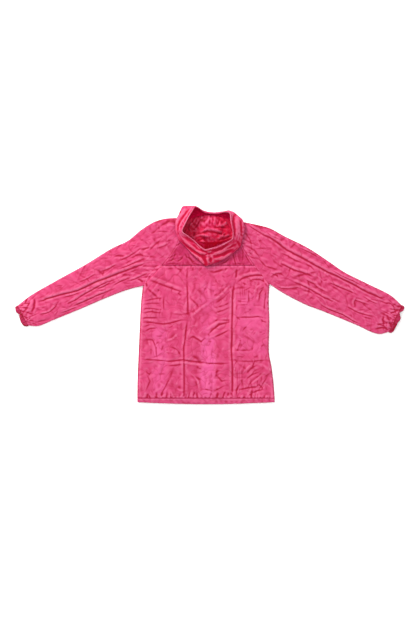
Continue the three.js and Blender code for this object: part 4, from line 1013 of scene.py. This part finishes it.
# Corners of its outline and of its rim in plan: angle and reach. Between them both run nearly straight.
HOOD_OUTLINE = np.array([
    (-95, 112), (-87, 104), (-75, 102), (-51, 99), (-38, 102), (-30, 107), (2, 108), (16, 104), (34, 90), (45, 80),
    (56, 63), (70, 53), (90, 51), (106, 57), (119, 79), (124, 84), (139, 105), (165, 102), (183, 100), (200, 96),
    (265, 112)])
HOOD_RIM = np.array([
    (-99, 62), (-63, 58), (-39, 64.5), (-24, 75.5), (-9, 71.5), (18, 67), (38, 79), (49, 67), (56, 56), (70, 48.6),
    (90, 46.6), (107, 52), (120, 79), (130, 73), (150, 69), (186, 82), (196, 67), (220, 55.5), (240, 57), (257, 62)])
HOOD_ROLL = 4.5
HOOD_CREASES = [
    (2.6, 4.2, 0, [(-47, 290), (-82, 244), (-88, 229), (-88, 211)]),
    (-3.0, 3.9, 0, [(-55, 288), (-75, 261), (-91, 232), (-93, 213)]),
    (2.2, 4.4, 0, [(-69, 286), (-88, 261), (-97, 240), (-98, 222), (-95, 204)]),
    (-1.6, 3.4, 0, [(-81, 280), (-91, 267), (-97, 255)]),
    (-3.4, 4.4, 0, [(-83, 206), (-64, 196), (-43, 185), (-21, 169), (-9, 162)]),
    (2.8, 4.2, 0, [(-84, 201), (-64, 184), (-43, 165), (-24, 153), (-3, 147)]),
    (-3.0, 3.9, 0, [(-90, 194), (-72, 176), (-52, 160), (-28, 147), (-6, 139)]),
    (2.2, 4.2, 0, [(-85, 179), (-61, 159), (-36, 143), (-15, 132)]),
    (-2.0, 3.4, 0, [(-79, 167), (-57, 148), (-36, 132)]),
    (-2.4, 3.4, 0, [(-28, 169), (-18, 158), (0, 151), (18, 151)]),
    (2.2, 3.4, 0, [(-34, 160), (-14, 153), (6, 153)]),
    (2.4, 3.4, 0, [(-29, 140), (-21, 129), (-12, 118)]),
    (-2.6, 3.4, 0, [(-19, 145), (-13, 132), (-5, 118)]),
    (2.2, 3.4, 0, [(-5, 140), (-3, 130), (0, 121)]),
    (-2.4, 3.4, 0, [(5, 141), (5, 132), (4, 123)]),
    (2.0, 3.6, 0, [(12, 134), (27, 139), (45, 147)]),
    (-1.8, 3.1, 0, [(-39, 137), (-30, 126), (-21, 119)]),
    (2.4, 3.9, 0, [(-3, 166), (12, 168), (31, 174), (62, 190)]),
    (-3.2, 4.2, 0, [(3, 156), (18, 160), (38, 167), (67, 185)]),
    (2.8, 4.2, 0, [(3, 147), (18, 150), (38, 158), (72, 174)]),
    (-2.8, 3.9, 0, [(9, 138), (24, 141), (50, 151), (77, 165)]),
    (1.8, 3.9, 0, [(21, 131), (45, 139), (75, 155)]),
    (-1.8, 3.1, 0, [(45, 161), (63, 169), (84, 181)]),
    (-3.4, 3.9, 0, [(74, 272), (73, 244), (76, 213), (76, 194)]),
    (1.6, 5.2, 0, [(84, 267), (85, 234), (84, 198)]),
    (-1.3, 3.4, 0, [(95, 255), (97, 228), (94, 198)]),
    (-1.4, 3.1, 0, [(81, 190), (88, 182), (92, 172)]),
    (-2.0, 3.4, 0, [(30, 277), (42, 280), (60, 278)]),
    (1.6, 3.1, 0, [(33, 272), (51, 274), (61, 270)]),
    (-1.6, 3.1, 0, [(-36, 288), (-29, 279), (-18, 273)]),
] + scattered(28, 110, (-110, 112, 112, 300), 26, 0.9, 2.2)


def cornered(corners, angle, easing):
    """Reach at each angle for a plan outline that is straight from corner to corner, its corners eased a little."""
    start = corners[0, 0]
    nodes = np.vstack([corners, corners[:1] + (360, 0)]) if corners[-1, 0] < start + 360 else corners
    total = 0
    for ease in (-3 * easing, -easing, easing, 3 * easing):
        turn = (angle + ease - start) % 360 + start
        k = np.clip(np.searchsorted(nodes[:, 0], turn, "right") - 1, 0, len(nodes) - 2)
        a, b = nodes[k], nodes[k + 1]
        before, after, span = (np.sin(np.radians(d)) for d in (turn - a[:, 0], b[:, 0] - turn, b[:, 0] - a[:, 0]))
        total = total + span / (after / a[:, 1] + before / b[:, 1])
    return total / 4


def hood_sizes(angle):
    """Outer reach and height, rim reach and height, and the height at the neck seam."""
    turn = (angle + 90) % 360 - 90
    low, rim, neck = (np.interp(turn, HOOD_HEIGHTS[:, 0], HOOD_HEIGHTS[:, k]) for k in (1, 2, 3))
    return cornered(HOOD_OUTLINE, angle, 0.7), low, cornered(HOOD_RIM, angle, 1.3), rim, neck


def hood_points(angle, share, out):
    """Points of the hood at shares of its section, moved out from its inner face, in plan and height."""
    stations, back = np.unique(np.round(angle, 6), return_inverse=True)
    outer, outer_z, rim, rim_z, neck_z = hood_sizes(stations)
    a = np.radians(stations)
    start = 1 / np.hypot(np.cos(a) / NECK["half_width"], np.sin(a) / NECK["half_depth"]) + 0.15
    width, depth, climb = outer - start, outer - rim, rim_z - outer_z
    roll = np.minimum(np.minimum(HOOD_ROLL, width * 0.3), climb * 0.35)
    roll_z = np.maximum(outer_z - roll * 0.9, 1.3)
    line = bent(np.stack([
        np.stack([start, neck_z], -1),
        np.stack([start + width * 0.45, mix(neck_z, roll_z, 0.5)], -1),
        np.stack([outer - roll * 1.1, roll_z], -1),
        np.stack([outer, outer_z], -1),
        np.stack([outer - np.minimum(roll, depth * 0.22), outer_z + roll * 1.1], -1),
        np.stack([outer - depth * 0.52, mix(outer_z, rim_z, 0.6)], -1),
        np.stack([outer - depth * 0.8, mix(outer_z, rim_z, 0.86)], -1),
        np.stack([rim, rim_z], -1),
    ], axis=1), 16)
    place = np.clip(share, 0, 1) * (line.shape[1] - 1)
    k = np.minimum(place.astype(int), line.shape[1] - 2)
    t = (place - k)[:, None]
    before, after = line[back, k], line[back, k + 1]
    run = after - before
    run /= np.linalg.norm(run, axis=1, keepdims=True)
    p = mix(before, after, t)
    reach, z = p[:, 0] + run[:, 1] * out, p[:, 1] - run[:, 0] * out
    return np.stack([reach * np.cos(a[back]), NECK["y"] + reach * np.sin(a[back]), z], -1)


def hood_relief(angle, share):
    """How far folds lift the hood's cloth: the placed ones on its upper face, small ones all over."""
    x, y, _ = hood_points(angle, share, np.zeros_like(share)).T
    on_top = smooth((share - 0.42) / 0.1)
    front = smooth((np.abs((angle - 90 + 180) % 360 - 180) - 24) / 20)
    relief = 1.2 * folds(x, y, HOOD_CREASES, wander=1.0) * mix(0.35, 1, on_top) * mix(0.3, 1, front)
    around = np.radians(angle) * 80
    relief += (0.6 * waves(around, share * 60, 26, 14) + 0.25 * waves(around, share * 110, 11, 15)) * mix(0.4, 1, front)
    return np.clip(relief, -2.6, 4) * smooth(share / 0.07)


def hood_place(which):
    from_angle, to_angle = (90, 270) if which == "left" else (-90, 90)

    def place(u, v):
        angle = mix(from_angle - 0.1, to_angle + 0.1, u)
        share = mix(v, smooth(v), 0.15)
        relief = hood_relief(angle, share)
        crown_seam = np.abs((angle + 90 + 180) % 360 - 180) * 1.5
        relief = relief - 0.5 * np.exp(-((crown_seam / 1.8) ** 2)) * smooth((share - 0.35) / 0.1)
        # The relief is also the tone: painted shade in the folds and along the crown seam, painted highlight on the
        # ridges.
        return hood_points(angle, share, 1.0 + relief), relief

    return place


hood_shell = nylon("hood_nylon", dyed(242, 78, 128), dyed(204, 0, 62), dyed(255, 132, 168), crinkle=0.7, gloss=0.1,
                   shade_colour=dyed(222, 4, 80))
# The hood's inner face: a deeper crimson copy of the nylon, painted shade for the inside of the hood.
shaded_hood_inside = nylon("hood_inside_shaded_nylon", dyed(236, 10, 76, light=1.6), dyed(180, 0, 42, light=1.6),
                    dyed(250, 50, 108), gloss=0, shade_colour=dyed(150, 0, 36, light=1.6))
for which in ("left", "right"):
    hood = cloth_piece(f"hood_cloth_{which}", 200, 92, hood_place(which), hood_shell, shaded_hood_inside, blur=6)
    # Painted shade: deeper crimson on the lower part of the hood, towards the yoke.
    set_mark(hood.data, "painted_shade", 0.9 * smooth((212 - plan_of(hood)[1]) / 30))
    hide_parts(f"hood_{which}")

# Hood hem: the face opening's edge, turned twice to the outside and stitched down. It is the pale line
# round the opening: a painted highlight on its rolled top edge.
CASING_FROM = 0.9


def casing_place(which):
    from_angle, to_angle = (90, 270) if which == "left" else (-90, 90)

    def place(u, v):
        angle = mix(from_angle + 0.05, to_angle - 0.05, u)
        outside = v < 0.62
        share = np.where(outside, mix(CASING_FROM, 1, v / 0.62), 1 - 0.05 * (v - 0.62) / 0.38)
        relief = hood_relief(angle, share) * mix(1.0, 0.35, smooth((share - CASING_FROM) / 0.1))
        plump = 1.2 * np.sin(math.pi * np.clip(v / 0.72, 0, 1)) ** 0.6
        ripple = 0.35 * waves(np.radians(angle) * 70, 20 * v, 9, 57) * np.sin(math.pi * np.clip(v / 0.62, 0, 1))
        tucked = 1.5 * smooth((v - 0.6) / 0.2)
        points = hood_points(angle, share, 1.5 + relief + plump + ripple - tucked * 1.3)
        points[:, 2] += 0.8 * np.sin(math.pi * np.clip((v - 0.45) / 0.35, 0, 1))
        # Painted highlight along the rolled top edge, uneven along it and left off near the chin; painted shade along
        # the lower edge.
        top_edge = np.exp(-(((v - 0.6) / 0.24) ** 4))
        wear_and_highlight = (0.7 + 0.5 * waves(np.radians(angle) * 70, 20 * v, 40, 58)) * smooth((np.abs(angle - 90) - 30) / 14)
        return points, ripple + 0.42 * wear_and_highlight * top_edge - 1.0 * np.exp(-((v / 0.16) ** 2))

    return place


# The rim's palest colour is that painted highlight, its crimson the painted shade.
rim_shell = nylon("rim_nylon", dyed(240, 80, 128), dyed(206, 0, 52), dyed(255, 165, 192), crinkle=0.5, gloss=0.1)
for which in ("left", "right"):
    casing = cloth_piece(f"hood_hem_cloth_{which}", 200, 20, casing_place(which), rim_shell, blur=0)
    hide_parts(f"hood_casing_{which}")

# Zip, slider and pull tab: their solids have the right shape, so they stay, with finishes of their own.
tape_finish, tape_shader, at = new_finish("zip_tape_weave", {"Roughness": 0.8})
where = at.node("ShaderNodeTexCoord", out="Object")
rib = at.node("ShaderNodeTexWave", {"wave_type": "BANDS", "bands_direction": "Y"},
              {"Vector": where, "Scale": 320.0, "Distortion": 0.4}, out="Fac")
feed(tape_shader, Base_Color=rib.between(dyed(226, 66, 122), dyed(244, 98, 152)),
     Normal=at.node("ShaderNodeBump", inputs={"Strength": 0.6, "Distance": 0.0002, "Height": rib}))
lacquer, lacquer_shader, at = new_finish("pink_lacquer", {"Metallic": 0.3, "Coat Weight": 0.4})
where = at.node("ShaderNodeTexCoord", out="Object")
# On the lacquer this is wear: uneven colour and gloss.
wear_and_highlight = at.node("ShaderNodeTexNoise", inputs={"Vector": where, "Scale": 700.0, "Detail": 3.0}, out="Fac")
feed(lacquer_shader, Base_Color=wear_and_highlight.between(dyed(190, 48, 104), dyed(224, 84, 140)), Roughness=0.2 + wear_and_highlight * 0.25)
for node, finish in (("zip", tape_finish), ("zip_slider", lacquer), ("zip_pull", lacquer)):
    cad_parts[node].data.materials.clear()
    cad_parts[node].data.materials.append(finish)

# Zip coil: two spirals of nylon wire whose loops lie between one another. The solid under them is plain.
LOOP_PITCH = 1.7
LOOPS_TO = 229.5
LOOP_OFFSET = 1.1
LOOP_Z = 0.35
LOOP_SIZE = (3.4, 0.75, 0.6)
grain_mesh = bmesh.new()
bmesh.ops.create_icosphere(grain_mesh, subdivisions=1, radius=0.5)
GRAIN = np.array([v.co for v in grain_mesh.verts])
GRAIN_FACES = np.array([[v.index for v in f.verts] for f in grain_mesh.faces])
grain_mesh.free()


def grains(name, finish, middles, ways, ups, size):
    """Many small rounded bodies in one mesh, each with its length, width and height along its own directions."""
    middles, ways, ups = (np.concatenate(part) for part in (middles, ways, ups))
    sides = np.cross(ups, ways)
    axes = np.stack([ways * size[0], sides * size[1], ups * size[2]], axis=1)
    points = (middles[:, None] + GRAIN @ axes - np.array(CENTRE)) / 1000
    faces = np.arange(len(middles))[:, None, None] * len(GRAIN) + GRAIN_FACES
    mesh = bpy.data.meshes.new(name)
    mesh.from_pydata(points.reshape(-1, 3).tolist(), [], faces.reshape(-1, 3).tolist())
    mesh.polygons.foreach_set("use_smooth", np.ones(len(mesh.polygons), bool))
    mesh.materials.append(finish)
    piece = bpy.data.objects.new(name, mesh)
    bpy.context.scene.collection.objects.link(piece)
    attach(piece, "jacket")
    return piece


wire, wire_shader, at = new_finish("coil_nylon", {"Specular IOR Level": 0.4})
where = at.node("ShaderNodeTexCoord", out="Object")
cast = at.node("ShaderNodeTexNoise", inputs={"Vector": where, "Scale": 900.0, "Detail": 2.0}, out="Fac")
feed(wire_shader, Base_Color=cast.between(dyed(222, 60, 118), dyed(246, 108, 160)), Roughness=0.3 + cast * 0.15)
loops_y = np.arange(HEM_Y + 2, LOOPS_TO, LOOP_PITCH)
middles, ways, ups = [], [], []
for shift, dx in ((0, -LOOP_OFFSET), (LOOP_PITCH / 2, LOOP_OFFSET)):
    y = loops_y + shift
    x = np.full(len(y), ZIP_X + dx)
    middles.append(np.stack([x, y, LOOP_Z + under_rise(x, y)], -1))
    ways.append(np.tile([1.0, 0, 0], (len(y), 1)))
    ups.append(np.tile([0, 0, 1.0], (len(y), 1)))
coil = grains("zip_coil", wire, middles, ways, ups, LOOP_SIZE)

# Stitching: rows of lockstitch in pink thread, about three to a centimetre, where the edges are turned
# and sewn down. On the real jacket they show as a dotted line.
STITCH_PITCH = 3.2
STITCH_SIZE = (2.5, 0.42, 0.36)
STITCH_LOWEST = 0.2
thread, thread_shader, at = new_finish("pink_thread", {"Specular IOR Level": 0.25})
where = at.node("ShaderNodeTexCoord", out="Object")
twist = at.node("ShaderNodeTexWave", {"wave_type": "BANDS", "bands_direction": "DIAGONAL"},
                {"Vector": where, "Scale": 1500.0, "Distortion": 1.0}, out="Fac")
feed(thread_shader, Base_Color=twist.between(dyed(188, 6, 66), dyed(222, 40, 100)), Roughness=0.6 + twist * 0.2,
     Normal=at.node("ShaderNodeBump", inputs={"Strength": 0.5, "Distance": 0.0001, "Height": twist}))


def stitch_row(place, start, end, up=1):
    """Middles, directions and upward ways of stitches along a straight run of a piece's two shares."""
    share = np.linspace(0, 1, 1200)[:, None]
    line = mix(np.array(start, float), np.array(end, float), share)
    beside = line + 0.004 * np.array([start[1] - end[1], end[0] - start[0]]) / math.dist(start, end)
    points, near = place(*line.T)[0], place(*beside.T)[0]
    reached = np.concatenate([[0], np.cumsum(np.linalg.norm(np.diff(points, axis=0), axis=1))])
    stops = np.arange(STITCH_PITCH, reached[-1] - STITCH_PITCH, STITCH_PITCH)
    middle = np.stack([np.interp(stops, reached, points[:, k]) for k in range(3)], -1)
    ahead = np.stack([np.interp(stops + 1, reached, points[:, k]) for k in range(3)], -1)
    side = np.stack([np.interp(stops, reached, near[:, k]) for k in range(3)], -1) - middle
    way = (ahead - middle) / np.linalg.norm(ahead - middle, axis=1, keepdims=True)
    out = np.cross(way, side)
    out *= up * np.sign(out[:, 2:]) / np.linalg.norm(out, axis=1, keepdims=True)
    middle += 0.12 * out
    middle[:, 2] = np.maximum(middle[:, 2], STITCH_LOWEST)
    return middle, way, out


for name, rows in {
    "hem_stitches": [
        stitch_row(hem_place(*HEM_SIDES, True), (0.004, 0.4), (0.996, 0.4)),
        stitch_row(hem_place(HEM_SIDES[0], HEM_ENDS[0], False), (0.01, 0.4), (0.99, 0.4), up=-1),
        stitch_row(hem_place(HEM_ENDS[1], HEM_SIDES[1], False), (0.01, 0.4), (0.99, 0.4), up=-1)],
    "yoke_stitches": [stitch_row(yoke_place, (0.01, 0.035), (0.99, 0.035))],
    "zip_stitches": [
        stitch_row(front_place(which), (0.975, 0.01), (0.975, 0.86), up=-1) for which in ("left", "right")],
    "cuff_stitches": [
        stitch_row(cuff_place(which), (0.02, 0.16), (UPPER_SHARE - 0.02, 0.16)) for which in ("left", "right")],
    "hood_hem_stitches": [
        stitch_row(casing_place(which), (0.005, 0.12), (0.995, 0.12)) for which in ("left", "right")],
}.items():
    sewn = grains(name, thread, *zip(*rows), STITCH_SIZE)
